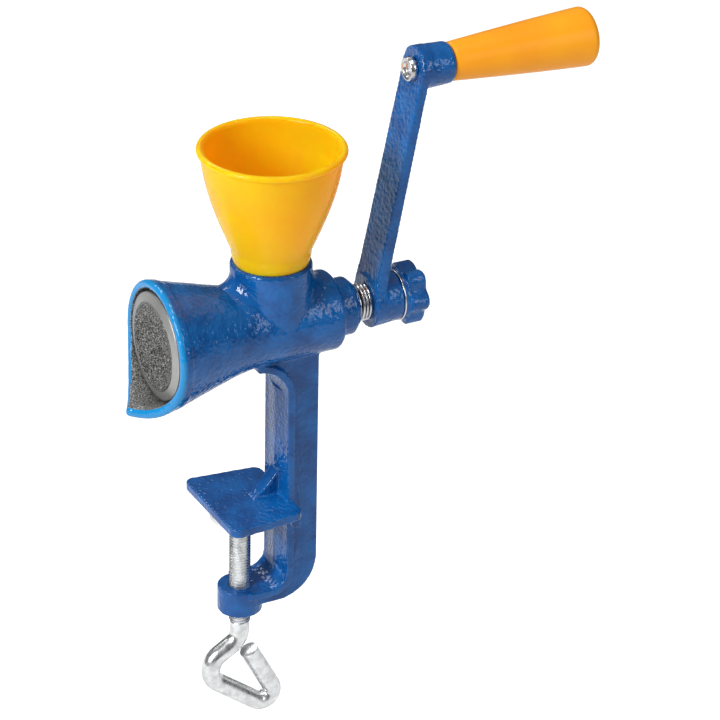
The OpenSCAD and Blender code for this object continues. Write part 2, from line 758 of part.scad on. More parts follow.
// Compression spring that pushes the crank away from the neck
module spring() {
    sides = 8;
    per_turn = 14;
    rings = round(spring_turns * per_turn);
    wire_r = spring_wire / 2;
    travel = spring_length - spring_wire - 0.1;
    points = [for (i = [0:rings], k = [0:sides - 1])
        let (turn = 360 * spring_turns * i / rings,
             around = 360 * k / sides,
             radius = spring_mean_r + wire_r * cos(around),
             along = wire_r + 0.05 + travel * i / rings + wire_r * sin(around))
        [along, radius * sin(turn), radius * cos(turn)]];
    color("gainsboro") translate([spring_x, 0, spindle_height])
        polyhedron(points, strip_faces(rings + 1, sides), convexity = 8);
}

// Half width of the arm at a height over the spindle: it spreads into the eye
function arm_half(h) = arm_w / 2 + (eye_r - arm_w / 2) * pow(max(0, 1 - h / arm_flare), 2);

// Place along X of the arm's front face at a height over the spindle
function arm_face(h) = eye_x + crank_lean * max(0, h - arm_knee) / (crank_length - arm_knee);

// Crank: leaning arm with an eye and hub on the spindle's square and a boss for the grip
module crank_arm() {
    steps = 8;
    top = crank_length + boss_r + 1;
    lean_top = arm_face(top);
    right = [for (i = [0:steps]) let (h = arm_flare * i / steps) [arm_half(h), h]];
    left = [for (i = [steps:-1:0]) let (h = arm_flare * i / steps) [-arm_half(h), h]];
    side = [[eye_x, -eye_r - 1], [eye_x, arm_knee], [lean_top, top],
        [lean_top + arm_top_t, top], [eye_x + arm_t, arm_knee], [eye_x + arm_t, -eye_r - 1]];
    color("royalblue") difference() {
        union() {
            intersection() {
                translate([0, 0, spindle_height]) slab(4 * eye_r) polygon(side);
                along_spindle(eye_x - 1) rotate([0, 0, 180]) linear_extrude(height = crank_lean + 3 * arm_t) {
                    circle(r = eye_r, $fn = round_steps);
                    translate([crank_length, 0]) circle(r = boss_r, $fn = round_steps);
                    rotate([0, 0, 90]) mirror([0, 1, 0]) {
                        polygon(concat(right, [[arm_w / 2, crank_length], [-arm_w / 2, crank_length]], left));
                    }
                }
            }
            along_spindle(eye_x) cylinder(h = arm_t + hub_length, r1 = hub_r + 0.6, r2 = hub_r - 0.6,
                $fn = round_steps);
            translate([0, 0, crank_length]) along_spindle(eye_x + crank_lean + 1) {
                cylinder(h = boss_reach - crank_lean - 2.2, r1 = boss_r, r2 = boss_r - 0.8,
                    $fn = round_steps);
                translate([0, 0, boss_reach - crank_lean - 2.2 - 0.001])
                    cylinder(h = 1.2, r1 = boss_r - 0.8, r2 = boss_r - 1.8, $fn = round_steps);
            }
        }
        translate([eye_x - 1, -square_af / 2 - 0.1, spindle_height - square_af / 2 - 0.1])
            cube([arm_t + hub_length + 2, square_af + 0.2, square_af + 0.2]);
        translate([0, 0, crank_length]) {
            bar(eye_x, boss_reach + 1, bolt_r + running_clearance);
            bar(eye_x, head_seat_x - eye_x, bolt_head_r + 0.8);
        }
    }
}

// Bolt that the grip turns on: a flat head with a shallow recess, and a long shank
module handle_bolt() {
    color("silver") translate([0, 0, crank_length]) difference() {
        union() {
            bar(head_seat_x - bolt_head_t, bolt_head_t, bolt_head_r);
            bar(head_seat_x - 0.1, bolt_end_x - head_seat_x + 0.1, bolt_r);
        }
        bar(head_seat_x - bolt_head_t - 1, 1.9, bolt_head_r * 0.66);
    }
}

// Outer radius of the grip along its length, from 0 at the boss to 1 at the end
function grip_at(t) = grip_neck_r + (grip_r - grip_neck_r) * (0.75 * t + 0.25 * sin(90 * t));

// Plastic grip that turns on its bolt
module handle_grip() {
    steps = 14;
    body = grip_length - grip_round;
    side = [for (i = [0:steps]) let (t = i / steps) [grip_at(t), body * t]];
    cap = arc(grip_r - grip_round, body, grip_round, 8, 90, 7);
    color("orange") difference() {
        translate([0, 0, crank_length]) along_spindle(grip_x) rotate_extrude($fn = round_steps)
            polygon(concat([[0, 0]], side, cap, [[0, grip_length]]));
        translate([0, 0, crank_length]) {
            bar(grip_x - 1, grip_length + 2, bolt_r + running_clearance);
            bar(nut_floor_x, grip_length, nut_af / 2 + 2.4);
        }
    }
}

// Washer at the bottom of the grip's end hole
module grip_washer() {
    translate([0, 0, crank_length]) washer(nut_floor_x + 0.1, nut_af / 2 + 1.6, bolt_r + 0.15);
}

// Hexagon nut along the spindle's direction
module hex_nut(x, thickness, across, hole_r) {
    color("silver") along_spindle(x) difference() {
        cylinder(h = thickness, r = across / sqrt(3), $fn = 6);
        translate([0, 0, -1]) cylinder(h = thickness + 2, r = hole_r, $fn = round_steps);
    }
}

// Nut that keeps the grip on its bolt
module grip_nut() {
    translate([0, 0, crank_length]) hex_nut(nut_floor_x + 0.1 + washer_t, nut_t, nut_af, bolt_r + 0.02);
}

// Outline of the knob's lobes, drawn in by an inset
function lobe_outline(inset) = [for (i = [0:95])
    let (a = 360 * i / 96, wave = (1 + cos(knob_lobes * a)) / 2,
         r = knob_r - inset - knob_valley * (1 - pow(wave, 0.8)))
    [r * cos(a), r * sin(a)]];

// Star knob that turns on the spindle's thread and draws the crank along
module adjusting_knob() {
    edge = 1.6;
    color("royalblue") difference() {
        union() {
            bar(knob_x, skirt_length + fuse, skirt_r);
            along_spindle(knob_x + skirt_length) rotate([0, 0, knob_phase]) {
                linear_extrude(height = knob_length - edge) polygon(lobe_outline(0));
                translate([0, 0, knob_length - edge])
                    linear_extrude(height = edge, scale = (knob_r - edge) / knob_r) polygon(lobe_outline(0));
            }
        }
        bar(knob_x - 1, knob_depth + 1, thread_r + 0.25);
        along_spindle(knob_x - 1) cylinder(h = nut_t + 1.2, r = nut_af / sqrt(3) + 0.1, $fn = 6);
    }
}

// Nut moulded into the knob
module knob_nut() {
    hex_nut(knob_x + 0.1, nut_t, nut_af, thread_r + running_clearance);
}

// Centreline corners of the bent rod in the plane X-Z, from the thread's end to the cut end
function rod_corners() = let (top = boss_bottom_z - rod_tail) [
    [0, boss_bottom_z - thread_tail + 2],
    [0, top],
    [-handle_left, top - handle_left_drop],
    [handle_point, top - handle_point_drop],
    [handle_end, top - handle_end_drop]];

// Heading of one leg of a list of corners
function heading_of(corners, i) = let (leg = corners[i + 1] - corners[i]) atan2(leg[1], leg[0]);

// Direction at a right angle to a heading
function across(heading) = [-sin(heading), cos(heading)];

// Stations through one bend, each a point and a heading
function bend_stations(corners, i, bend, steps) =
    let (h = heading_of(corners, i - 1),
         turn = (heading_of(corners, i) - h + 540) % 360 - 180,
         side = sign(turn),
         start = corners[i] - bend * tan(abs(turn) / 2) * [cos(h), sin(h)],
         centre = start + side * bend * across(h))
    [for (k = [0:steps]) let (a = h + turn * k / steps) [centre - side * bend * across(a), a]];

// Round rod along corners in the plane X-Z, with every inner corner bent to its own radius
module bent_rod(corners, r, bends) {
    last = len(corners) - 1;
    sides = 32;
    stations = concat(
        [[corners[0], heading_of(corners, 0)]],
        [for (i = [1:last - 1]) each bend_stations(corners, i, bends[i], bend_steps)],
        [[corners[last], heading_of(corners, last - 1)]]);
    points = [for (st = stations, k = [0:sides - 1])
        let (t = 360 * k / sides, p = st[0] + r * cos(t) * across(st[1])) [p[0], -r * sin(t), p[1]]];
    polyhedron(points, strip_faces(len(stations), sides), convexity = 8);
}

// Clamp screw: one rod, threaded above, bent into a triangular handle below and riveted to the pad
module clamp_screw() {
    recess_z = pad_top_z - pad_head_h;
    color("silver") {
        bent_rod(rod_corners(), rod_r, [0, bend_r, bend_r, point_bend_r, 0]);
        translate([0, 0, boss_bottom_z - thread_tail]) cylinder(h = pad_top_z - pad_t - pad_hub_h
            - boss_bottom_z + thread_tail, r = screw_r, $fn = round_steps);
        translate([0, 0, pad_top_z - pad_t - pad_hub_h])
            cylinder(h = pad_t + pad_hub_h - 0.6, r = pad_neck_r, $fn = round_steps);
        translate([0, 0, recess_z + running_clearance]) cylinder(h = pad_head_h - 0.7, r1 = pad_head_r,
            r2 = pad_head_r - 1, $fn = round_steps);
    }
}

// Swivelling pad on the top of the clamp screw
module clamp_pad() {
    bottom_z = pad_top_z - pad_t - pad_hub_h;
    color("silver") difference() {
        union() {
            translate([0, 0, pad_top_z - pad_t]) cylinder(h = pad_t, r = pad_r, $fn = round_steps);
            translate([0, 0, bottom_z + 0.1]) cylinder(h = pad_hub_h + 1, r1 = screw_r + 1,
                r2 = screw_r + 3.5, $fn = round_steps);
        }
        translate([0, 0, bottom_z - 1])
            cylinder(h = pad_t + pad_hub_h + 2, r = pad_neck_r + running_clearance, $fn = round_steps);
        translate([0, 0, pad_top_z - pad_head_h]) cylinder(h = pad_head_h + 1, r = pad_head_r + 0.8,
            $fn = round_steps);
    }
}

housing();
hopper();
burr_ring();
ring_pins();
burr_rotor();
rotor_pin();
feed_worm();
worm_pin();
spindle();
rear_bush();
neck_washer();
spring();
crank_arm();
knob_washer();
adjusting_knob();
knob_nut();
handle_bolt();
handle_grip();
grip_washer();
grip_nut();
clamp_screw();
clamp_pad();
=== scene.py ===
"""Finishes for a hand crank seed mill: enamelled castings, moulded hopper and grip, plated steel."""

from math import atan2, ceil, cos, hypot, pi, radians, sin, tan

import bmesh
import bpy
from bpy.props import FloatProperty, FloatVectorProperty, IntProperty, PointerProperty
from mathutils import Matrix, Vector, noise


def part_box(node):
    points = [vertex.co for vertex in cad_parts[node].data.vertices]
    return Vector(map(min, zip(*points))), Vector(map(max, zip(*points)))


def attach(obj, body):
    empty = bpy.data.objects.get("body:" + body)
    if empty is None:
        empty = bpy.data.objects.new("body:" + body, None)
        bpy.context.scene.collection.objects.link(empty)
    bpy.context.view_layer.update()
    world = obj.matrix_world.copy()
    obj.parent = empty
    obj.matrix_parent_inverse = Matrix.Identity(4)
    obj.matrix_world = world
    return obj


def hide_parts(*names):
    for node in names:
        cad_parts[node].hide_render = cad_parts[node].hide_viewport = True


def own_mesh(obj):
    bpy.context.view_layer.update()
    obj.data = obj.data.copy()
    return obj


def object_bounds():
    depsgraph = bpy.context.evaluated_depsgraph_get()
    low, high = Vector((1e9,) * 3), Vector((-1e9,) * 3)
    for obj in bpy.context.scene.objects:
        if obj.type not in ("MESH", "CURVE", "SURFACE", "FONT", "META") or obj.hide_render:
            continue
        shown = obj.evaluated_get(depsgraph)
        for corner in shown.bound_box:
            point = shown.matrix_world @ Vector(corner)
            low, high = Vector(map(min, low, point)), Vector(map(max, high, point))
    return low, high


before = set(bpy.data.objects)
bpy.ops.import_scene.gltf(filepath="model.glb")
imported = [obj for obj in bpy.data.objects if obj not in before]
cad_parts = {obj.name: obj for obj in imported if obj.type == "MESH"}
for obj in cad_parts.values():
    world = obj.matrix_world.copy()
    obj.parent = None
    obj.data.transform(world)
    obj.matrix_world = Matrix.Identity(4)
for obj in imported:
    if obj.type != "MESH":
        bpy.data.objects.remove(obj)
CAD_BOX = [list(corner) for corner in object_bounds()]

bl_info = {
    "name": "Seed Mill",
    "version": (1, 0, 0),
    "blender": (4, 5, 0),
    "location": "View3D > Sidebar > Seed Mill",
    "description": "Builds the visible pieces and finishes of a hand crank seed mill",
    "category": "Object",
}


# ---------------------------------------------------------------------------
# Places taken from the frame, in metres
# ---------------------------------------------------------------------------

AXIS_X = Vector((1, 0, 0))
AXIS_Z = Vector((0, 0, 1))


def middle(node):
    """Centre of a node's box."""
    low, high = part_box(node)
    return (low + high) / 2


SPINDLE_Z = middle("spindle").z
GRIP_Z = middle("handle_grip").z
HOPPER_X = middle("hopper").x
BOSS_BOTTOM_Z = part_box("housing")[0].z
# How far the rotor's face stands in front of the centre of the mouth's bead
ROTOR_PROUD = 0.0015
MOUTH_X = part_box("burr_rotor")[0].x + ROTOR_PROUD
SPINDLE = Vector((0, 0, SPINDLE_Z))
GRIP_LINE = Vector((0, 0, GRIP_Z))

# Radius where the rotor's dish ends and its turned rim begins
DISH_EDGE = 0.0238
# Spacing of the slow waves in a cast wall
WAVE_SPACING = 0.007
# Least step between two rings of a skin, or across a border
SKIM = 0.0001


# ---------------------------------------------------------------------------
# Sizes and colours that a user may change
# ---------------------------------------------------------------------------


def length(name, description, default):
    """A length in metres."""
    return FloatProperty(
        name=name, description=description, default=default, min=0.0, precision=5,
        subtype="DISTANCE", unit="LENGTH",
    )


def colour(name, description, default):
    """A linear colour."""
    return FloatVectorProperty(
        name=name, description=description, default=default, size=3, min=0.0, max=1.0, subtype="COLOR"
    )


class MillSizes(bpy.types.PropertyGroup):
    """Sizes of what the frame leaves to the visible pieces."""

    casting_grid: length("Casting grid", "Edge length of the mesh that skins the castings", 0.0006)
    casting_softness: IntProperty(
        name="Casting softness", default=6, min=0,
        description="Smoothing passes that round the castings' edges",
    )
    casting_wave: length("Casting wave", "Depth of the slow waves in a cast wall", 0.00012)
    rotor_grid: length("Rotor grid", "Edge length of the mesh that skins the rotor", 0.00042)
    knob_grid: length("Knob grid", "Edge length of the mesh that skins the knob", 0.00045)
    dish_grain: length("Dish grain", "Depth of the sand grain in the rotor's dish", 0.0005)
    thread_pitch: length("Thread pitch", "Pitch of the clamp screw's thread", 0.00175)
    thread_depth: length("Thread depth", "Depth of the clamp screw's thread", 0.00107)
    rod_radius: length("Rod radius", "Radius of the clamp screw's plain rod", 0.0054)
    wire_radius: length("Spring wire", "Radius of the spring's wire", 0.0008)
    coil_radius: length("Coil radius", "Radius of the spring's turns at the middle of the wire", 0.0096)
    bolt_recess: length("Bolt recess", "Radius of the recess in the grip bolt's head", 0.0046)
    hopper_wall: length("Hopper wall", "Thickness of the hopper's wall", 0.0022)
    floor_half: length("Floor", "Half the width of the floor", 6.0)
    screw_drop: length("Screw drop", "How far the clamp's screw winds down over the floor", 0.034)


class MillColours(bpy.types.PropertyGroup):
    """Colours of the finishes, linear."""

    enamel: colour("Enamel", "Blue enamel where it lies thick", (0.002, 0.060, 0.235))
    enamel_thin: colour("Thin enamel", "Blue enamel where it runs thin", (0.004, 0.112, 0.375))
    # Lighter blue on edges: partly thin enamel, partly a painted highlight; on the mouth's bead it is all
    # painted highlight
    enamel_thin_ridge_and_highlight: colour("Enamel on ridges", "Blue enamel on beads and edges", (0.008, 0.270, 0.600))
    iron: colour("Bare iron", "Ground and cast iron without enamel", (0.055, 0.055, 0.052))
    iron_light: colour("Iron grain", "Light grains of the cast skin", (0.500, 0.500, 0.485))
    iron_turned: colour("Turned iron", "Iron turned smooth on the rotor's rim", (0.400, 0.400, 0.390))
    hopper: colour("Hopper", "Plastic of the hopper", (1.000, 0.480, 0.004))
    grip: colour("Grip", "Plastic of the grip", (1.000, 0.400, 0.010))
    zinc: colour("Zinc", "Zinc plate on the clamp screw", (0.900, 0.915, 0.920))
    # Darkened as painted shade, so the gaps between the spring's turns show black
    dark_steel: colour("Dark steel", "Steel of the spindle", (0.110, 0.110, 0.110))
    steel: colour("Steel", "Bright steel of bolts, washers and spring", (0.820, 0.820, 0.820))
    bronze: colour("Bronze", "Bush in the neck", (0.520, 0.300, 0.120))
    floor: colour("Floor", "Floor and background", (0.900, 0.900, 0.900))


# ---------------------------------------------------------------------------
# Node wiring
# ---------------------------------------------------------------------------


class Wiring:
    """A node tree that is being wired."""

    def __init__(self, tree):
        self.tree = tree

    def add(self, kind, feeds=None, **settings):
        """Adds a node, sets its settings and feeds its inputs with values or sockets."""
        node = self.tree.nodes.new(kind)
        for key, value in settings.items():
            setattr(node, key, value)
        for key, value in (feeds or {}).items():
            self.feed(node.inputs[key], value)
        return node

    def feed(self, socket, value):
        """Links a socket or a node's first output, or sets a plain value."""
        if isinstance(value, bpy.types.NodeSocket):
            self.tree.links.new(value, socket)
        elif isinstance(value, bpy.types.Node):
            self.tree.links.new(value.outputs[0], socket)
        else:
            socket.default_value = value

    def maths(self, operation, *values):
        """A maths node on one or two values."""
        return self.add("ShaderNodeMath", dict(enumerate(values)), operation=operation)

    def blend(self, share, first, second):
        """Mix of two colours."""
        node = self.add("ShaderNodeMix", {0: share, 6: first, 7: second}, data_type="RGBA")
        return node.outputs[2]

    def between(self, share, low, high):
        """Mix of two numbers."""
        node = self.add("ShaderNodeMix", {0: share, 2: low, 3: high}, data_type="FLOAT")
        return node.outputs[0]

    def window(self, value, low, high, to_low=0.0, to_high=1.0):
        """Value mapped from one range to another and held at its ends, with a soft slope."""
        feeds = {0: value, 1: low, 2: high, 3: to_low, 4: to_high}
        return self.add("ShaderNodeMapRange", feeds, interpolation_type="SMOOTHSTEP").outputs[0]

    def noise(self, vector, scale, detail=2.0, roughness=0.5):
        """Noise value from 0 to 1."""
        feeds = {"Vector": vector, "Scale": scale, "Detail": detail, "Roughness": roughness}
        return self.add("ShaderNodeTexNoise", feeds).outputs[0]


def rgba(values):
    """A colour property as four numbers."""
    return (*values, 1.0)


def shaded(values, share):
    """A colour property made lighter or darker by a share, as four numbers."""
    return rgba([value * share for value in values])


def new_group(name, inputs, outputs):
    """An empty shader node group with named sockets, and its wiring."""
    tree = bpy.data.node_groups.new(name, "ShaderNodeTree")
    for label, kind, default in inputs:
        socket = tree.interface.new_socket(label, in_out="INPUT", socket_type=kind)
        socket.default_value = default
    for label, kind in outputs:
        tree.interface.new_socket(label, in_out="OUTPUT", socket_type=kind)
    wiring = Wiring(tree)
    return wiring, wiring.add("NodeGroupInput").outputs, wiring.add("NodeGroupOutput").inputs


def cast_skin_group():
    """Skin of a sand casting under its finish: soft dimples, fine grain and a few pits."""
    w, given, out = new_group(
        "cast_skin",
        [
            ("Grain", "NodeSocketFloat", 0.002),
            ("Pits", "NodeSocketFloat", 0.3),
            ("Fine", "NodeSocketFloat", 0.35),
        ],
        [("Height", "NodeSocketFloat"), ("Grain mask", "NodeSocketFloat")],
    )
    place = w.add("ShaderNodeTexCoord").outputs["Object"]
    scale = w.maths("DIVIDE", 1.0, given["Grain"])
    dimples = w.noise(place, scale, 0.5, 0.5)
    fine = w.noise(place, w.maths("MULTIPLY", scale, 2.7), 3.0, 0.6)
    cell_scale = w.maths("MULTIPLY", scale, 1.3)
    cells = w.add("ShaderNodeTexVoronoi", {"Vector": place, "Scale": cell_scale}).outputs["Distance"]
    pit = w.window(cells, 0.05, 0.34, 1.0, 0.0)
    relief = w.maths("ADD", w.maths("MULTIPLY", dimples, 0.65), w.maths("MULTIPLY", fine, given["Fine"]))
    w.feed(out["Height"], w.maths("SUBTRACT", relief, w.maths("MULTIPLY", pit, given["Pits"])))
    w.feed(out["Grain mask"], w.window(fine, 0.35, 0.68))
    return w.tree


def colour_drift_group():
    """Slow change between two shades over a surface."""
    w, given, out = new_group(
        "colour_drift",
        [
            ("Deep", "NodeSocketColor", (0.1, 0.1, 0.1, 1.0)),
            ("Light", "NodeSocketColor", (0.3, 0.3, 0.3, 1.0)),
            ("Patch", "NodeSocketFloat", 0.02),
        ],
        [("Color", "NodeSocketColor")],
    )
    place = w.add("ShaderNodeTexCoord").outputs["Object"]
    drift = w.window(w.noise(place, w.maths("DIVIDE", 1.0, given["Patch"]), 3.0, 0.55), 0.3, 0.7)
    w.feed(out["Color"], w.blend(drift, given["Deep"], given["Light"]))
    return w.tree


def edge_thin_paint_and_highlight_group():
    """Mask of the ridges, where a finish runs thin and where a painted highlight lightens them."""
    w, given, out = new_group(
        "worn_edge", [("Amount", "NodeSocketFloat", 0.5)], [("Mask", "NodeSocketFloat")]
    )
    ridge_thin_paint_and_highlight = w.window(w.add("ShaderNodeNewGeometry").outputs["Pointiness"], 0.53, 0.62)
    w.feed(out["Mask"], w.maths("MULTIPLY", ridge_thin_paint_and_highlight, given["Amount"]))
    return w.tree


def tool_marks_group():
    """Fine lines left by turning, drawing or rolling, stretched by the scale along each axis."""
    w, given, out = new_group(
        "tool_marks",
        [("Stretch", "NodeSocketVector", (4000.0, 300.0, 300.0)), ("Contrast", "NodeSocketFloat", 0.5)],
        [("Marks", "NodeSocketFloat"), ("Height", "NodeSocketFloat")],
    )
    place = w.add("ShaderNodeTexCoord").outputs["Object"]
    lines = w.add("ShaderNodeVectorMath", {0: place, 1: given["Stretch"]}, operation="MULTIPLY").outputs[0]
    streak = w.noise(lines, 1.0, 3.0, 0.6)
    w.feed(out["Height"], streak)
    w.feed(out["Marks"], w.maths("MULTIPLY", w.window(streak, 0.25, 0.75), given["Contrast"]))
    return w.tree


def spindle_reach_group():
    """Place round the spindle: the distance from its axis and the place along it."""
    w, _, out = new_group("spindle_reach", [], [("Radius", "NodeSocketFloat"), ("Along", "NodeSocketFloat")])
    axes = w.add("ShaderNodeSeparateXYZ", {0: w.add("ShaderNodeTexCoord").outputs["Object"]}).outputs
    up = w.maths("SUBTRACT", axes["Z"], SPINDLE_Z)
    squares = w.maths("ADD", w.maths("MULTIPLY", axes["Y"], axes["Y"]), w.maths("MULTIPLY", up, up))
    w.feed(out["Radius"], w.maths("SQRT", squares))
    w.feed(out["Along"], axes["X"])
    return w.tree


GROUP_MAKERS = {
    "cast_skin": cast_skin_group,
    "colour_drift": colour_drift_group,
    "worn_edge": edge_thin_paint_and_highlight_group,
    "tool_marks": tool_marks_group,
    "spindle_reach": spindle_reach_group,
}


def placed_group(wiring, name, feeds=None):
    """A shared node group placed in a material, made when it is first asked for."""
    tree = bpy.data.node_groups.get(name) or GROUP_MAKERS[name]()
    node = wiring.add("ShaderNodeGroup", node_tree=tree)
    for key, value in (feeds or {}).items():
        wiring.feed(node.inputs[key], value)
    return node.outputs


# ---------------------------------------------------------------------------
# Materials
# ---------------------------------------------------------------------------


# Keeps the finishes apart from the frame's own materials, which carry the slots' names
FINISH_PREFIX = "mill_"


def new_material(name, **constants):
    """A material with one Principled BSDF whose plain numbers are set on its own sockets."""
    material = bpy.data.materials.new(FINISH_PREFIX + name)
    material.use_nodes = True
    material.node_tree.nodes.clear()
    wiring = Wiring(material.node_tree)
    shader = wiring.add("ShaderNodeBsdfPrincipled")
    for label, value in constants.items():
        shader.inputs[label.replace("_", " ")].default_value = value
    wiring.add("ShaderNodeOutputMaterial", {"Surface": shader})
    return material, wiring, shader.inputs


def bump(wiring, height, strength, distance):
    """Normal of a surface with this relief; the distance is in metres."""
    feeds = {"Strength": strength, "Distance": distance, "Height": height}
    return wiring.add("ShaderNodeBump", feeds).outputs[0]


def cast_iron_look(w, colours):
    """Cast skin and colour of bare iron."""
    skin = placed_group(w, "cast_skin", {"Grain": 0.0017, "Pits": 0.5})
    shades = {"Deep": rgba(colours.iron), "Light": shaded(colours.iron, 2.0), "Patch": 0.006}
    drift = placed_group(w, "colour_drift", shades)
    grains = w.window(skin["Grain mask"], 0.4, 0.64, 0.0, 0.75)
    return skin, w.blend(grains, drift["Color"], rgba(colours.iron_light))


def bare_mouth_mask(w, place):
    """Mask of the bare iron in the mouth: a cone that widens to the front, with a ragged border."""
    mouth_r, front_flare, back_x, back_taper = 0.0317, 0.085, -0.042, 0.5
    ahead = w.maths("MAXIMUM", w.maths("SUBTRACT", MOUTH_X, place["Along"]), 0.0)
    behind = w.maths("MAXIMUM", w.maths("SUBTRACT", place["Along"], back_x), 0.0)
    ragged = w.noise(w.add("ShaderNodeTexCoord").outputs["Object"], 500.0, 2.0)
    limit = w.maths("ADD", w.maths("MULTIPLY", ahead, front_flare), w.maths("MULTIPLY", ragged, 0.0005))
    limit = w.maths("SUBTRACT", w.maths("ADD", limit, mouth_r), w.maths("MULTIPLY", behind, back_taper))
    return w.window(w.maths("SUBTRACT", limit, place["Radius"]), -SKIM, SKIM)


def enamel_material(colours, name="blue_enamel", bare_mouth=False):
    """Glossy enamel over a sand casting, with lighter edges from thin enamel and a painted highlight, and a
    painted highlight on the mouth's bead; the mouth's inside may be bare iron.
    """
    material, w, surface = new_material(name, Specular_IOR_Level=0.42)
    skin = placed_group(w, "cast_skin", {"Grain": 0.0024, "Pits": 0.12, "Fine": 0.06})
    shades = {"Deep": rgba(colours.enamel), "Light": rgba(colours.enamel_thin), "Patch": 0.014}
    drift = placed_group(w, "colour_drift", shades)
    # Edges take the lighter blue: partly thin enamel, partly a painted highlight
    ridge_thin_paint_and_highlight = placed_group(w, "worn_edge", {"Amount": 0.7})["Mask"]
    if bare_mouth:
        place = placed_group(w, "spindle_reach")
        # The mouth's bead is painted in the lighter blue as a painted highlight, where it catches the light
        bead = w.window(place["Along"], MOUTH_X + 0.0005, MOUTH_X + 0.0035, 0.75, 0.0)
        ridge_thin_paint_and_highlight = w.maths("MAXIMUM", ridge_thin_paint_and_highlight, bead)
    shade = w.blend(ridge_thin_paint_and_highlight, drift["Color"], rgba(colours.enamel_thin_ridge_and_highlight))
    rough = w.between(skin["Grain mask"], 0.07, 0.13)
    height = skin["Height"]
    if bare_mouth:
        bare = bare_mouth_mask(w, place)
        iron_skin, iron_shade = cast_iron_look(w, colours)
        shade = w.blend(bare, shade, iron_shade)
        rough = w.between(bare, rough, 0.5)
        height = w.between(bare, height, iron_skin["Height"])
        w.feed(surface["Metallic"], w.maths("MULTIPLY", bare, 0.6))
    w.feed(surface["Base Color"], shade)
    w.feed(surface["Roughness"], rough)
    w.feed(surface["Normal"], bump(w, height, 0.9, 0.0008))
    return material


def rotor_material(colours):
    """Grey cast iron, rough in the dish and turned smooth on the rim."""
    material, w, surface = new_material("rotor_iron")
    skin, shade = cast_iron_look(w, colours)
    radius = placed_group(w, "spindle_reach")["Radius"]
    turned_rim = w.window(radius, DISH_EDGE, DISH_EDGE + 0.0008)
    marks = placed_group(w, "tool_marks", {"Stretch": (300.0, 60.0, 60.0), "Contrast": 0.4})
    across = w.add("ShaderNodeCombineXYZ", {0: w.maths("MULTIPLY", radius, 5000.0)})
    rings = w.noise(across, 1.0, 2.0)
    rim_shade = w.blend(marks["Marks"], rgba(colours.iron_turned), shaded(colours.iron_turned, 0.55))
    height = w.between(turned_rim, skin["Height"], w.maths("MULTIPLY", rings, 0.045))
    w.feed(surface["Base Color"], w.blend(turned_rim, shade, rim_shade))
    w.feed(surface["Roughness"], w.between(turned_rim, 0.38, 0.36))
    w.feed(surface["Metallic"], w.between(turned_rim, 0.85, 0.8))
    w.feed(surface["Normal"], bump(w, height, 1.0, 0.0026))
    return material


def bare_iron_material(colours):
    """Grey cast iron of the ring, worm and pins."""
    material, w, surface = new_material("bare_iron", Metallic=0.6)
    skin, shade = cast_iron_look(w, colours)
    w.feed(surface["Base Color"], shade)
    w.feed(surface["Roughness"], w.between(skin["Grain mask"], 0.42, 0.6))
    w.feed(surface["Normal"], bump(w, skin["Height"], 0.5, 0.0002))
    return material


def moulded_material(name, shade, deep, roughness, **constants):
    """Moulded plastic with a faint orange peel and slow change of shade."""
    material, w, surface = new_material(name, **constants)
    drift = placed_group(w, "colour_drift", {"Deep": rgba(deep), "Light": rgba(shade), "Patch": 0.045})
    skin = placed_group(w, "cast_skin", {"Grain": 0.0016, "Pits": 0.0})
    w.feed(surface["Base Color"], drift["Color"])
    w.feed(surface["Roughness"], w.between(skin["Grain mask"], roughness, roughness * 1.35))
    w.feed(surface["Normal"], bump(w, skin["Height"], 0.12, 0.0002))
    return material


def hopper_material(colours):
    """Glossy, slightly translucent plastic."""
    red, green, blue = colours.hopper
    return moulded_material(
        "hopper_plastic", colours.hopper, (red, green * 0.86, blue), 0.2,
        Subsurface_Weight=0.9, Subsurface_Scale=0.02, Subsurface_Radius=(1.0, 0.25, 0.03),
        Specular_IOR_Level=0.16,
    )


def grip_material(colours):
    """Satin plastic of the grip."""
    red, green, blue = colours.grip
    return moulded_material(
        "grip_plastic", colours.grip, (red * 0.94, green * 0.84, blue), 0.3,
        Specular_IOR_Level=0.25,
    )


def plated_material(name, shade, stretch, rough_low, rough_high):
    """Bright metal with the marks of turning, drawing or rolling."""
    material, w, surface = new_material(name, Metallic=1.0)
    marks = placed_group(w, "tool_marks", {"Stretch": stretch, "Contrast": 0.8})
    shades = {"Deep": shaded(shade, 0.72), "Light": rgba(shade), "Patch": 0.005}
    drift = placed_group(w, "colour_drift", shades)
    w.feed(surface["Base Color"], drift["Color"])
    w.feed(surface["Roughness"], w.between(marks["Marks"], rough_low, rough_high))
    w.feed(surface["Normal"], bump(w, marks["Height"], 0.3, 0.0001))
    return material


# Colour, stretch of the tool marks and lowest and highest roughness of the metal finishes
METALS = {
    "zinc_steel": ("zinc", (350.0, 350.0, 90.0), 0.2, 0.42),
    "dark_steel": ("dark_steel", (2000.0, 200.0, 200.0), 0.3, 0.5),
    "bright_steel": ("steel", (3000.0, 200.0, 200.0), 0.16, 0.34),
    "bronze": ("bronze", (2500.0, 200.0, 200.0), 0.25, 0.4),
}


def finish(name):
    """A finish by name, made when it is first asked for."""
    made = bpy.data.materials.get(FINISH_PREFIX + name)
    if made:
        return made
    colours = bpy.context.scene.mill_colours
    if name in METALS:
        colour_name, *marks = METALS[name]
        return plated_material(name, getattr(colours, colour_name), *marks)
    makers = {
        "blue_enamel": enamel_material,
        "body_enamel": lambda shades: enamel_material(shades, "body_enamel", bare_mouth=True),
        "rotor_iron": rotor_material,
        "bare_iron": bare_iron_material,
        "hopper_plastic": hopper_material,
        "grip_plastic": grip_material,
    }
    return makers[name](colours)


# ---------------------------------------------------------------------------
# Shapes
# ---------------------------------------------------------------------------


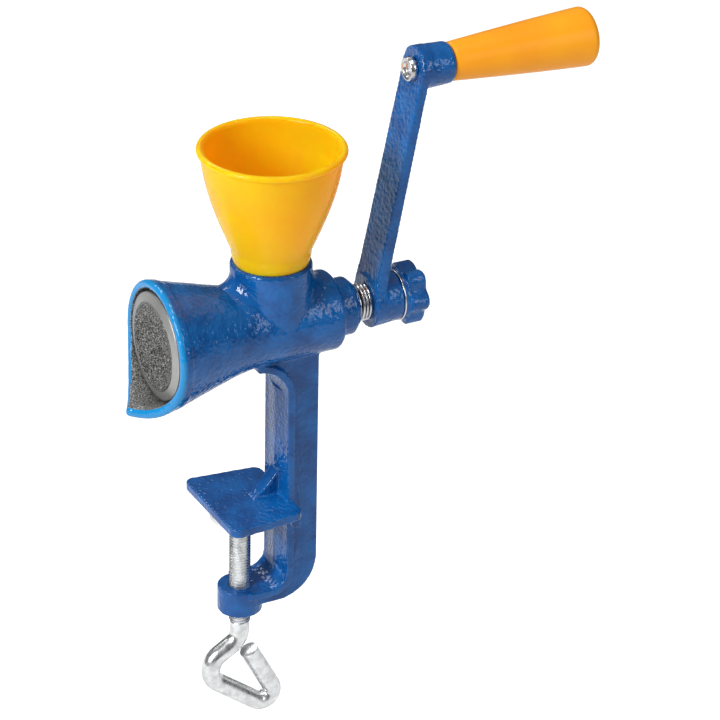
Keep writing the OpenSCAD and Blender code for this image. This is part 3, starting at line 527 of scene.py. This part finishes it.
def fitted(name, mesh, body, material, replaced, sharp=38.0):
    """Puts a finished mesh into the scene: shading, material, the body it rides on, and hides the parts it
    stands in for.
    """
    piece = bpy.data.objects.new(name, mesh)
    bpy.context.scene.collection.objects.link(piece)
    mesh.materials.clear()
    mesh.materials.append(finish(material))
    mesh.shade_smooth()
    mesh.set_sharp_from_angle(angle=radians(sharp))
    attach(piece, body)
    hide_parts(*replaced)
    return piece


def skin_mesh(name, points, faces):
    """A mesh from points and faces, with its faces turned outward."""
    mesh = bpy.data.meshes.new(name)
    mesh.from_pydata([tuple(p) for p in points], [], faces)
    shell = bmesh.new()
    shell.from_mesh(mesh)
    bmesh.ops.recalc_face_normals(shell, faces=shell.faces)
    shell.to_mesh(mesh)
    shell.free()
    return mesh


def sideways(axis):
    """Two directions at right angles to an axis and to each other."""
    first = axis.orthogonal().normalized()
    return first, axis.cross(first).normalized()


def joined_rings(rings, loop):
    """Quads and end fans between rings of point numbers; a ring of one point is a pole."""
    faces = []
    pairs = list(zip(rings, rings[1:]))
    if loop:
        pairs.append((rings[-1], rings[0]))
    for a, b in pairs:
        count = max(len(a), len(b))
        for k in range(count):
            n = (k + 1) % count
            corners = [a[k % len(a)], b[k % len(b)], b[n % len(b)], a[n % len(a)]]
            corners = list(dict.fromkeys(corners))
            if len(corners) > 2:
                faces.append(corners)
    return faces


def turned(name, outline, origin, axis, steps, loop=False):
    """A turned body: an outline of (along, radius) points spun round an axis."""
    first, second = sideways(axis)
    points, rings = [], []
    for along, radius in outline:
        centre = origin + axis * along
        count = 1 if radius < 1e-7 else steps
        rings.append(range(len(points), len(points) + count))
        for k in range(count):
            turn = 2 * pi * k / steps
            points.append(centre + radius * (cos(turn) * first + sin(turn) * second))
    return skin_mesh(name, points, joined_rings(rings, loop))


def rounded(corners, radii, loop=False, steps=5):
    """A line with its corners rounded; a radius of 0 keeps a corner sharp."""
    made, last = [], len(corners) - 1
    for i, corner in enumerate(corners):
        here = Vector(corner)
        if radii[i] <= 0 or (not loop and i in (0, last)):
            made.append(tuple(here))
            continue
        before = Vector(corners[i - 1]) - here
        after = Vector(corners[(i + 1) % len(corners)]) - here
        half = before.angle(after) / 2
        reach = min(radii[i] / tan(half), before.length * 0.49, after.length * 0.49)
        start, end = here + before.normalized() * reach, here + after.normalized() * reach
        for k in range(steps + 1):
            t = k / steps
            made.append(tuple(start * (1 - t) ** 2 + here * 2 * t * (1 - t) + end * t * t))
    return made


def swept(name, path, radius, sides):
    """A round wire along a path, closed with flat ends."""
    points, rings = [], []
    heading = (path[1] - path[0]).normalized()
    side = heading.orthogonal().normalized()
    for i, place in enumerate(path):
        ahead = (path[min(i + 1, len(path) - 1)] - path[max(i - 1, 0)]).normalized()
        side = (side - ahead * side.dot(ahead)).normalized()
        other = ahead.cross(side)
        rings.append(range(len(points), len(points) + sides))
        for k in range(sides):
            turn = 2 * pi * k / sides
            points.append(place + radius * (cos(turn) * side + sin(turn) * other))
    faces = joined_rings(rings, False)
    faces += [list(rings[0]), list(rings[-1])]
    return skin_mesh(name, points, faces)


def recast(node, grid, softness, share):
    """A node's shape as one cast skin with softened edges, thinned to a share of its faces."""
    blank_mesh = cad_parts[node].data.copy()
    welded = bmesh.new()
    welded.from_mesh(blank_mesh)
    bmesh.ops.remove_doubles(welded, verts=welded.verts, dist=1e-6)
    welded.to_mesh(blank_mesh)
    welded.free()
    blank = bpy.data.objects.new("blank", blank_mesh)
    bpy.context.scene.collection.objects.link(blank)
    remesh = blank.modifiers.new("Remesh", "REMESH")
    remesh.mode = "VOXEL"
    remesh.voxel_size = grid
    smooth = blank.modifiers.new("Smooth", "SMOOTH")
    smooth.factor = 0.5
    smooth.iterations = softness
    if share < 1:
        thin = blank.modifiers.new("Thin", "DECIMATE")
        thin.ratio = share
    bpy.context.view_layer.update()
    depsgraph = bpy.context.evaluated_depsgraph_get()
    cast = bpy.data.meshes.new_from_object(blank.evaluated_get(depsgraph))
    bpy.data.objects.remove(blank)
    bpy.data.meshes.remove(blank_mesh)
    cast.materials.clear()
    return cast


def waved(mesh, depth, size, where=None):
    """Moves a mesh's points along their normals by seeded noise; where gives each point's share of it."""
    normals = [vertex.normal.copy() for vertex in mesh.vertices]
    moved = []
    for vertex, normal in zip(mesh.vertices, normals):
        point = vertex.co.copy()
        share = 1.0 if where is None else where(point)
        if share > 0:
            level = noise.noise(point / size) + 0.5 * noise.noise(point * 2.3 / size)
            point += normal * (level - 0.35) * depth * share
        moved.extend(point)
    mesh.vertices.foreach_set("co", moved)
    mesh.update()
    return mesh


def slope(value, low, high):
    """0 below low, 1 above high, with a soft slope between."""
    t = max(0.0, min(1.0, (value - low) / (high - low)))
    return t * t * (3 - 2 * t)


# ---------------------------------------------------------------------------
# Outlines of the turned pieces, from the frame's boxes
# ---------------------------------------------------------------------------


def hopper_outline(wall):
    """The hopper's wall: spigot, shoulder, bowl and rolled rim, as (height, radius)."""
    low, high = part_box("hopper")
    foot, rim_bead = 0.011, 0.0019
    rim_z = high.z - low.z - rim_bead
    bowl_height = rim_z - foot
    bowl_r = high.x - HOPPER_X - rim_bead - 0.0001
    shoulder_r, foot_r, foot_height, belly = 0.0204, 0.0219, 0.008, 0.8

    def bowl(h):
        if h < foot_height:
            return shoulder_r + (foot_r - shoulder_r) * sin(pi / 2 * h / foot_height)
        t = (h - foot_height) / (bowl_height - foot_height)
        return foot_r + (bowl_r - foot_r) * (t + belly * (sin(pi / 2 * t) - t))

    spigot_r, steps = 0.0184, 56
    start = [(0.0, spigot_r - wall), (0.0, spigot_r), (foot - 0.0002, spigot_r), (foot, spigot_r + 0.0002)]
    shoulder = [(foot, shoulder_r - 0.0004), (foot + 0.0001, shoulder_r - 0.0001)]
    heights = [(bowl_height - rim_bead) * (i / steps) for i in range(1, steps + 1)]
    outside = [(foot + h, bowl(h)) for h in heights]
    rim = [
        (rim_z + rim_bead * sin(a), bowl_r + 0.0001 + rim_bead * cos(a))
        for a in (radians(-84 + 264 * i / 22) for i in range(23))
    ]
    inside = [(foot + h, bowl(h) - wall) for h in (bowl_height * (1 - i / steps) for i in range(steps + 1))]
    return start + shoulder + outside + rim + inside + [(foot - 0.002, spigot_r - wall)]


def grip_outline():
    """The grip from its neck to the hole in its end, as (along, radius)."""
    low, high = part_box("handle_grip")
    reach = high.x - low.x
    end_r, neck_r, edge, straight = (high.z - low.z) / 2, 0.0106, 0.004, 0.75
    body = reach - edge
    steps = 40
    side = []
    for i in range(steps + 1):
        t = i / steps
        spread = straight * t + (1 - straight) * sin(pi / 2 * t)
        side.append((body * t, neck_r + (end_r - neck_r) * spread))
    side[0] = (0.0, neck_r - 0.0005)
    side.insert(1, (0.0004, neck_r - 0.0001))
    cap = [
        (body + edge * sin(a), end_r - edge + edge * cos(a))
        for a in (radians(6 + 84 * i / 12) for i in range(13))
    ]
    hole_r, hole_floor, bore_r = 0.0089, reach - 0.011, 0.00405
    mouth = [(reach, hole_r + 0.0008), (reach - 0.0003, hole_r + 0.0002), (reach - 0.001, hole_r)]
    bore = [(hole_floor, hole_r), (hole_floor, bore_r), (0.0, bore_r)]
    return side + cap + mouth + bore


def washer_outline(node):
    """A flat ring with broken edges, as (along, radius) from the ring's low face."""
    low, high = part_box(node)
    thick, outer = high.x - low.x, (high.z - low.z) / 2
    inner = {"neck_washer": 0.0062, "knob_washer": 0.0042, "grip_washer": 0.00415}[node]
    corners = [(0, inner), (0, outer), (thick, outer), (thick, inner)]
    return rounded(corners, [0.00015, 0.00025, 0.00025, 0.00015], loop=True, steps=3)


def bolt_outline(recess):
    """The grip's bolt: a rolled head round a recess, then the shank, as (along, radius)."""
    low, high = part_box("handle_bolt")
    head_r, head_t, shank_r = (high.z - low.z) / 2, 0.0034, 0.004
    reach = high.x - low.x
    recess_depth, chamfer = 0.0022, 0.0006
    corners = [
        (recess_depth, 0), (recess_depth - 0.0002, recess - 0.0008), (0.0004, recess), (0, recess + 0.0011),
        (0, head_r - 0.0004), (head_t * 0.55, head_r), (head_t, head_r), (head_t, shank_r),
        (reach - chamfer, shank_r), (reach, shank_r - chamfer), (reach, 0),
    ]
    radii = [0, 0.0006, 0.0006, 0.0005, 0.0009, 0.0006, 0.0003, 0, 0.0003, 0.0003, 0]
    return rounded(corners, radii, steps=6)


def pad_outline():
    """The swivelling pad: a dished disc, its hub and the recess for the riveted head, as (height, radius)."""
    low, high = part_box("clamp_pad")
    reach, disc_r = high.z - low.z, (high.x - low.x) / 2
    disc_t, bore_r, hub_r, hub_top_r = 0.0036, 0.00365, 0.0069, 0.0092
    recess_r, recess_depth = 0.0062, 0.0022
    corners = [
        (0, bore_r), (0, hub_r), (reach - disc_t, hub_top_r), (reach - disc_t, disc_r), (reach, disc_r),
        (reach, recess_r), (reach - recess_depth, recess_r), (reach - recess_depth, bore_r),
    ]
    radii = [0.0002, 0.0006, 0.0012, 0.0008, 0.0007, 0.0004, 0.0002, 0.0002]
    return rounded(corners, radii, loop=True)


# ---------------------------------------------------------------------------
# Clamp screw
# ---------------------------------------------------------------------------


def rod_stations(top_z):
    """Stations down the bent handle, each a place in X and Z and a heading, and the place of its cut end."""
    left, left_drop, point, point_drop, end, end_drop = 0.0264, 0.0157, 0.0331, 0.0614, 0.0057, 0.0093
    lead_in, bend_steps = 0.018, 22
    corners = [
        Vector((0, top_z + lead_in)), Vector((0, top_z)), Vector((-left, top_z - left_drop)),
        Vector((point, top_z - point_drop)), Vector((end, top_z - end_drop)),
    ]
    bends = [0, 0.011, 0.011, 0.0064, 0]
    headings = [atan2(b.y - a.y, b.x - a.x) for a, b in zip(corners, corners[1:])]
    stations = []
    for i in (1, 2, 3):
        turn = (headings[i] - headings[i - 1] + 3 * pi) % (2 * pi) - pi
        way = 1 if turn > 0 else -1
        before = Vector((cos(headings[i - 1]), sin(headings[i - 1])))
        start = corners[i] - before * bends[i] * tan(abs(turn) / 2)
        centre = start + Vector((-before.y, before.x)) * way * bends[i]
        for k in range(bend_steps + 1):
            a = headings[i - 1] + turn * k / bend_steps
            stations.append((centre - Vector((-sin(a), cos(a))) * way * bends[i], a))
    cut = Vector((cos(headings[3]), sin(headings[3])))
    stations.append((corners[4] - cut * SKIM, headings[3]))
    return stations, corners[4]


def clamp_screw_mesh(sizes):
    """Threaded shank with its riveted end above and the plain bent handle below, as one skin."""
    head_z, head_r, neck_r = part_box("clamp_screw")[1].z, 0.0054, 0.0036
    shank_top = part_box("clamp_pad")[0].z - SKIM
    thread_top, thread_end = shank_top - 0.0002, BOSS_BOTTOM_Z - 0.0094
    crest, pitch, depth, rod_r = 0.006, sizes.thread_pitch, sizes.thread_depth, sizes.rod_radius
    root = crest - depth
    # Share of the thread's depth over one pitch: crest, flank, root and flank
    groove = (0, 0, 0.25, 0.5, 0.75, 1, 1, 0.75, 0.5, 0.25)
    per_turn, sides = len(groove), 48
    turns = [2 * pi * k / sides for k in range(sides)]
    points, rings = [], []

    def ring(places):
        rings.append(range(len(points), len(points) + len(places)))
        points.extend(places)

    def level_ring(z, radius):
        ring([Vector((radius * cos(turn), -radius * sin(turn), z)) for turn in turns])

    def rod_ring(place, heading, radius):
        aside, rise = -radius * sin(heading), radius * cos(heading)
        ring([
            Vector((place.x + aside * cos(turn), -radius * sin(turn), place.y + rise * cos(turn)))
            for turn in turns
        ])

    ring([Vector((0, 0, head_z))])
    head = ((0, head_r - 0.0022), (0.0004, head_r - 0.0008), (0.0009, head_r - SKIM), (0.0015, head_r))
    for drop, radius in head:
        level_ring(head_z - drop, radius)
    level_ring(head_z - 0.0016, neck_r)
    level_ring(shank_top, neck_r)
    level_ring(shank_top - SKIM, root)
    for i in range(ceil((shank_top - thread_end) / pitch * per_turn) + per_turn):
        places = []
        for k, turn in enumerate(turns):
            z = thread_top + pitch - pitch * (i / per_turn + k / sides)
            z = max(thread_end, min(thread_top, z))
            run_in = slope(shank_top - z, 0.0, 0.0012)
            run_out = slope(z - thread_end, 0.0, 0.002)
            radius = root + depth * (1 - groove[i % per_turn]) * run_in
            radius = rod_r + (radius - rod_r) * run_out
            places.append(Vector((radius * cos(turn), -radius * sin(turn), z)))
        ring(places)
    stations, cut_end = rod_stations(BOSS_BOTTOM_Z - 0.0204)
    rod_ring(Vector((0, thread_end - SKIM)), -pi / 2, rod_r)
    for place, heading in stations:
        rod_ring(place, heading, rod_r)
    rod_ring(cut_end, heading, rod_r - 0.0002)
    ring([Vector((cut_end.x, 0, cut_end.y))])
    return skin_mesh("clamp_screw_skin", points, joined_rings(rings, False))


# ---------------------------------------------------------------------------
# Operators, one for each piece or group of like pieces
# ---------------------------------------------------------------------------


class PieceOperator(bpy.types.Operator):
    """Builds part of the mill."""

    bl_idname = "seed_mill.piece"
    bl_label = "Piece"
    bl_options = {"REGISTER", "UNDO"}

    def build(self, sizes):
        """Makes the piece."""
        raise NotImplementedError

    def execute(self, context):
        self.build(context.scene.mill_sizes)
        return {"FINISHED"}


class BuildBody(PieceOperator):
    """Builds the enamelled body casting"""

    bl_idname = "seed_mill.body"
    bl_label = "Body casting"

    def build(self, sizes):
        cast = recast("housing", sizes.casting_grid, sizes.casting_softness, 0.45)
        waved(cast, sizes.casting_wave, WAVE_SPACING)
        fitted("body_casting", cast, "housing", "body_enamel", ["housing"], sharp=60)


class BuildHopper(PieceOperator):
    """Builds the plastic hopper"""

    bl_idname = "seed_mill.hopper"
    bl_label = "Hopper"

    def build(self, sizes):
        foot = Vector((HOPPER_X, 0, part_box("hopper")[0].z))
        mesh = turned("hopper_bowl", hopper_outline(sizes.hopper_wall), foot, AXIS_Z, steps=160, loop=True)
        fitted("hopper_bowl", mesh, "hopper", "hopper_plastic", ["hopper"])


class BuildRotor(PieceOperator):
    """Builds the grinding rotor with its rough dish"""

    bl_idname = "seed_mill.rotor"
    bl_label = "Rotor"

    def build(self, sizes):
        grain_spacing, edge_blend, dish_depth, floor_blend = 0.0013, 0.0013, 0.0085, 0.001
        cast = recast("burr_rotor", sizes.rotor_grid, 2, 1.0)
        face_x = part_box("burr_rotor")[0].x

        def dish_share(co):
            inside = 1 - slope(hypot(co.y, co.z - SPINDLE_Z), DISH_EDGE - edge_blend, DISH_EDGE)
            return inside * (1 - slope(co.x - face_x, dish_depth, dish_depth + floor_blend))

        waved(cast, sizes.dish_grain, grain_spacing, dish_share)
        fitted("grinding_rotor", cast, "spindle", "rotor_iron", ["burr_rotor"], sharp=50)


class FinishInside(PieceOperator):
    """Gives the inner pieces that keep their own shape their finishes"""

    bl_idname = "seed_mill.inside"
    bl_label = "Ring, worm, pins, bush and spindle"

    def build(self, sizes):
        finishes = {
            "bare_iron": ("burr_ring", "feed_worm", "ring_pins", "rotor_pin", "worm_pin"),
            # The spindle's steel is darkened as painted shade for the gaps behind the spring
            "dark_steel": ("spindle",),
            "bright_steel": ("knob_nut", "grip_nut"),
            "bronze": ("rear_bush",),
        }
        for material, nodes in finishes.items():
            for node in nodes:
                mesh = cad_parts[node].data
                mesh.materials.clear()
                mesh.materials.append(finish(material))


class BuildWashers(PieceOperator):
    """Builds the three flat washers"""

    bl_idname = "seed_mill.washers"
    bl_label = "Washers"

    def build(self, sizes):
        bodies = {"neck_washer": "spindle", "knob_washer": "crank", "grip_washer": "crank"}
        for node, body in bodies.items():
            line = GRIP_LINE if node == "grip_washer" else SPINDLE
            origin = line + AXIS_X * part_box(node)[0].x
            mesh = turned(node + "_ring", washer_outline(node), origin, AXIS_X, steps=72, loop=True)
            fitted(node + "_ring", mesh, body, "bright_steel", [node])


class BuildSpring(PieceOperator):
    """Builds the spring between the neck and the crank"""

    bl_idname = "seed_mill.spring"
    bl_label = "Spring"

    def build(self, sizes):
        low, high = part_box("spring")
        wire, coil_r, turns, per_turn = sizes.wire_radius, sizes.coil_radius, 3, 40
        start, travel, steps = low.x + wire, high.x - low.x - 2 * wire, turns * per_turn
        path = []
        for i in range(steps + 1):
            turn = 2 * pi * i / per_turn
            along = start + travel * i / steps
            path.append(Vector((along, coil_r * sin(turn), SPINDLE_Z + coil_r * cos(turn))))
        mesh = swept("spring_coil", path, wire, 14)
        coil = fitted("spring_coil", mesh, "spindle", "bright_steel", ["spring"])
        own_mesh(coil)


class BuildCrank(PieceOperator):
    """Builds the enamelled crank arm"""

    bl_idname = "seed_mill.crank"
    bl_label = "Crank arm"

    def build(self, sizes):
        cast = recast("crank_arm", sizes.casting_grid, sizes.casting_softness, 0.5)
        waved(cast, sizes.casting_wave, WAVE_SPACING)
        fitted("crank_casting", cast, "crank", "blue_enamel", ["crank_arm"], sharp=60)


class BuildKnob(PieceOperator):
    """Builds the adjusting knob"""

    bl_idname = "seed_mill.knob"
    bl_label = "Adjusting knob"

    def build(self, sizes):
        cast = recast("adjusting_knob", sizes.knob_grid, sizes.casting_softness, 0.7)
        fitted("star_knob", cast, "knob", "blue_enamel", ["adjusting_knob"], sharp=60)


class BuildGrip(PieceOperator):
    """Builds the grip and the bolt that it turns on"""

    bl_idname = "seed_mill.grip"
    bl_label = "Grip and bolt"

    def build(self, sizes):
        origin = GRIP_LINE + AXIS_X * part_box("handle_grip")[0].x
        mesh = turned("grip_cone", grip_outline(), origin, AXIS_X, steps=128, loop=True)
        fitted("grip_cone", mesh, "grip", "grip_plastic", ["handle_grip"])
        origin = GRIP_LINE + AXIS_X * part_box("handle_bolt")[0].x
        mesh = turned("grip_bolt", bolt_outline(sizes.bolt_recess), origin, AXIS_X, steps=64)
        fitted("grip_bolt", mesh, "crank", "bright_steel", ["handle_bolt"])


class BuildClamp(PieceOperator):
    """Builds the clamp screw with its bent handle, and the pad"""

    bl_idname = "seed_mill.clamp"
    bl_label = "Clamp screw and pad"

    def build(self, sizes):
        mesh = clamp_screw_mesh(sizes)
        fitted("clamp_rod", mesh, "clamp_screw", "zinc_steel", ["clamp_screw"])
        foot = Vector((0, 0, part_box("clamp_pad")[0].z))
        mesh = turned("pad_disc", pad_outline(), foot, AXIS_Z, steps=96, loop=True)
        fitted("pad_disc", mesh, "clamp_pad", "zinc_steel", ["clamp_pad"])


class BuildStage(PieceOperator):
    """Builds the floor, the lamps, the world and the camera"""

    bl_idname = "seed_mill.stage"
    bl_label = "Stage"

    def build(self, sizes):
        scene = bpy.context.scene
        scene.view_settings.view_transform = "Standard"
        add_floor(sizes, scene.mill_colours)
        add_world(scene)
        add_lamps()
        add_camera(scene)


# ---------------------------------------------------------------------------
# Stage
# ---------------------------------------------------------------------------


def add_floor(sizes, colours):
    """A plain pale floor, low enough for the clamp's screw wound right down."""
    half, clearance, glow = sizes.floor_half, 0.001, 0.45
    low = CAD_BOX[0][2] - sizes.screw_drop - clearance
    corners = [(-half, -half, low), (half, -half, low), (half, half, low), (-half, half, low)]
    floor = bpy.data.objects.new("floor", skin_mesh("floor", corners, [(0, 1, 2, 3)]))
    bpy.context.scene.collection.objects.link(floor)
    material, w, surface = new_material(
        "pale_floor", Roughness=0.9, Specular_IOR_Level=0.1, Base_Color=rgba(colours.floor),
        Emission_Color=(1.0, 1.0, 1.0, 1.0),
    )
    seen = w.add("ShaderNodeLightPath").outputs["Is Camera Ray"]
    w.feed(surface["Emission Strength"], w.maths("MULTIPLY", seen, glow))
    floor.data.materials.append(material)


def add_world(scene):
    """White to the camera, a dim gradient in reflections and a soft level of light."""
    mirror_low, mirror_high, ambient = 0.05, 0.3, 0.3
    world = bpy.data.worlds.new("studio")
    scene.world = world
    world.use_nodes = True
    world.node_tree.nodes.clear()
    w = Wiring(world.node_tree)
    path = w.add("ShaderNodeLightPath").outputs
    seen = w.maths("MAXIMUM", path["Is Camera Ray"], path["Is Transmission Ray"])
    sky = w.add("ShaderNodeTexCoord").outputs["Generated"]
    height = w.add("ShaderNodeSeparateXYZ", {0: sky}).outputs["Z"]
    gradient = w.window(height, -0.2, 0.9, mirror_low, mirror_high)
    mirrored = w.maths("MULTIPLY", path["Is Glossy Ray"], gradient)
    soft = w.maths("MULTIPLY", path["Is Diffuse Ray"], ambient)
    level = w.maths("MAXIMUM", w.maths("MAXIMUM", seen, mirrored), soft)
    background = w.add("ShaderNodeBackground", {"Color": (1.0, 1.0, 1.0, 1.0), "Strength": level})
    w.add("ShaderNodeOutputWorld", {"Surface": background})


def add_lamps():
    """Soft boxes: a key from the upper left, a fill from the right front, a strip behind and one overhead."""
    target = Vector((0.03, 0.0, 0.1))
    # Place, width and height in metres, and power in watts
    lamps = {
        "key": ((-1.7, -0.45, 1.1), 0.6, 0.9, 38.0),
        "fill": ((1.0, -1.5, 0.9), 0.35, 1.2, 5.0),
        "rim": ((-0.2, 1.4, 1.5), 1.2, 0.35, 8.0),
        "top": ((0.1, -0.3, 2.3), 0.8, 0.5, 11.0),
    }
    for name, (place, width, height, power) in lamps.items():
        lamp = bpy.data.lights.new(name, "AREA")
        lamp.shape = "RECTANGLE"
        lamp.size, lamp.size_y, lamp.energy = width, height, power
        holder = bpy.data.objects.new(name, lamp)
        holder.location = place
        holder.rotation_mode = "QUATERNION"
        holder.rotation_quaternion = (target - Vector(place)).to_track_quat("-Z", "Y")
        bpy.context.scene.collection.objects.link(holder)


def add_camera(scene):
    """Long lens from the front left, a little above the mill."""
    azimuth, elevation, roll, distance = radians(-27.88), radians(27.7), radians(1.2), 2.04958
    back = Vector((sin(azimuth) * cos(elevation), -cos(azimuth) * cos(elevation), sin(elevation)))
    level_right = Vector((cos(azimuth), sin(azimuth), 0))
    level_up = back.cross(level_right)
    right = level_right * cos(roll) + level_up * sin(roll)
    up = level_up * cos(roll) - level_right * sin(roll)
    shift_right, shift_down = 0.04823, 0.0209
    target = Vector((HOPPER_X, 0, SPINDLE_Z)) + right * shift_right - up * shift_down
    lens = bpy.data.cameras.new("camera")
    lens.lens, lens.sensor_width = 189.9, 36.0
    lens.clip_start, lens.clip_end = 0.05, 50.0
    camera = bpy.data.objects.new("camera", lens)
    turn = Matrix((right, up, back)).transposed().to_4x4()
    camera.matrix_world = Matrix.Translation(target + back * distance) @ turn
    scene.collection.objects.link(camera)
    scene.camera = camera


# ---------------------------------------------------------------------------
# Panel and registration
# ---------------------------------------------------------------------------

PIECES = (
    BuildBody, BuildHopper, BuildRotor, FinishInside, BuildWashers, BuildSpring,
    BuildCrank, BuildKnob, BuildGrip, BuildClamp, BuildStage,
)


class SeedMillPanel(bpy.types.Panel):
    """Lists the mill's sizes, colours and pieces."""

    bl_idname = "VIEW3D_PT_seed_mill"
    bl_label = "Seed Mill"
    bl_space_type = "VIEW_3D"
    bl_region_type = "UI"
    bl_category = "Seed Mill"

    def draw(self, context):
        for settings in (context.scene.mill_sizes, context.scene.mill_colours):
            column = self.layout.column(align=True)
            for key in settings.__annotations__:
                column.prop(settings, key)
        for piece in PIECES:
            self.layout.operator(piece.bl_idname)


CLASSES = (MillSizes, MillColours, *PIECES, SeedMillPanel)


def register():
    """Registers the classes and the scene's settings."""
    for item in CLASSES:
        bpy.utils.register_class(item)
    bpy.types.Scene.mill_sizes = PointerProperty(type=MillSizes)
    bpy.types.Scene.mill_colours = PointerProperty(type=MillColours)


def unregister():
    """Takes the settings and classes away again."""
    del bpy.types.Scene.mill_colours
    del bpy.types.Scene.mill_sizes
    for item in reversed(CLASSES):
        bpy.utils.unregister_class(item)


def main():
    """Builds the whole mill."""
    register()
    for piece in PIECES:
        group, action = piece.bl_idname.split(".")
        getattr(getattr(bpy.ops, group), action)()
    bpy.context.view_layer.update()


if __name__ == "__main__":
    main()
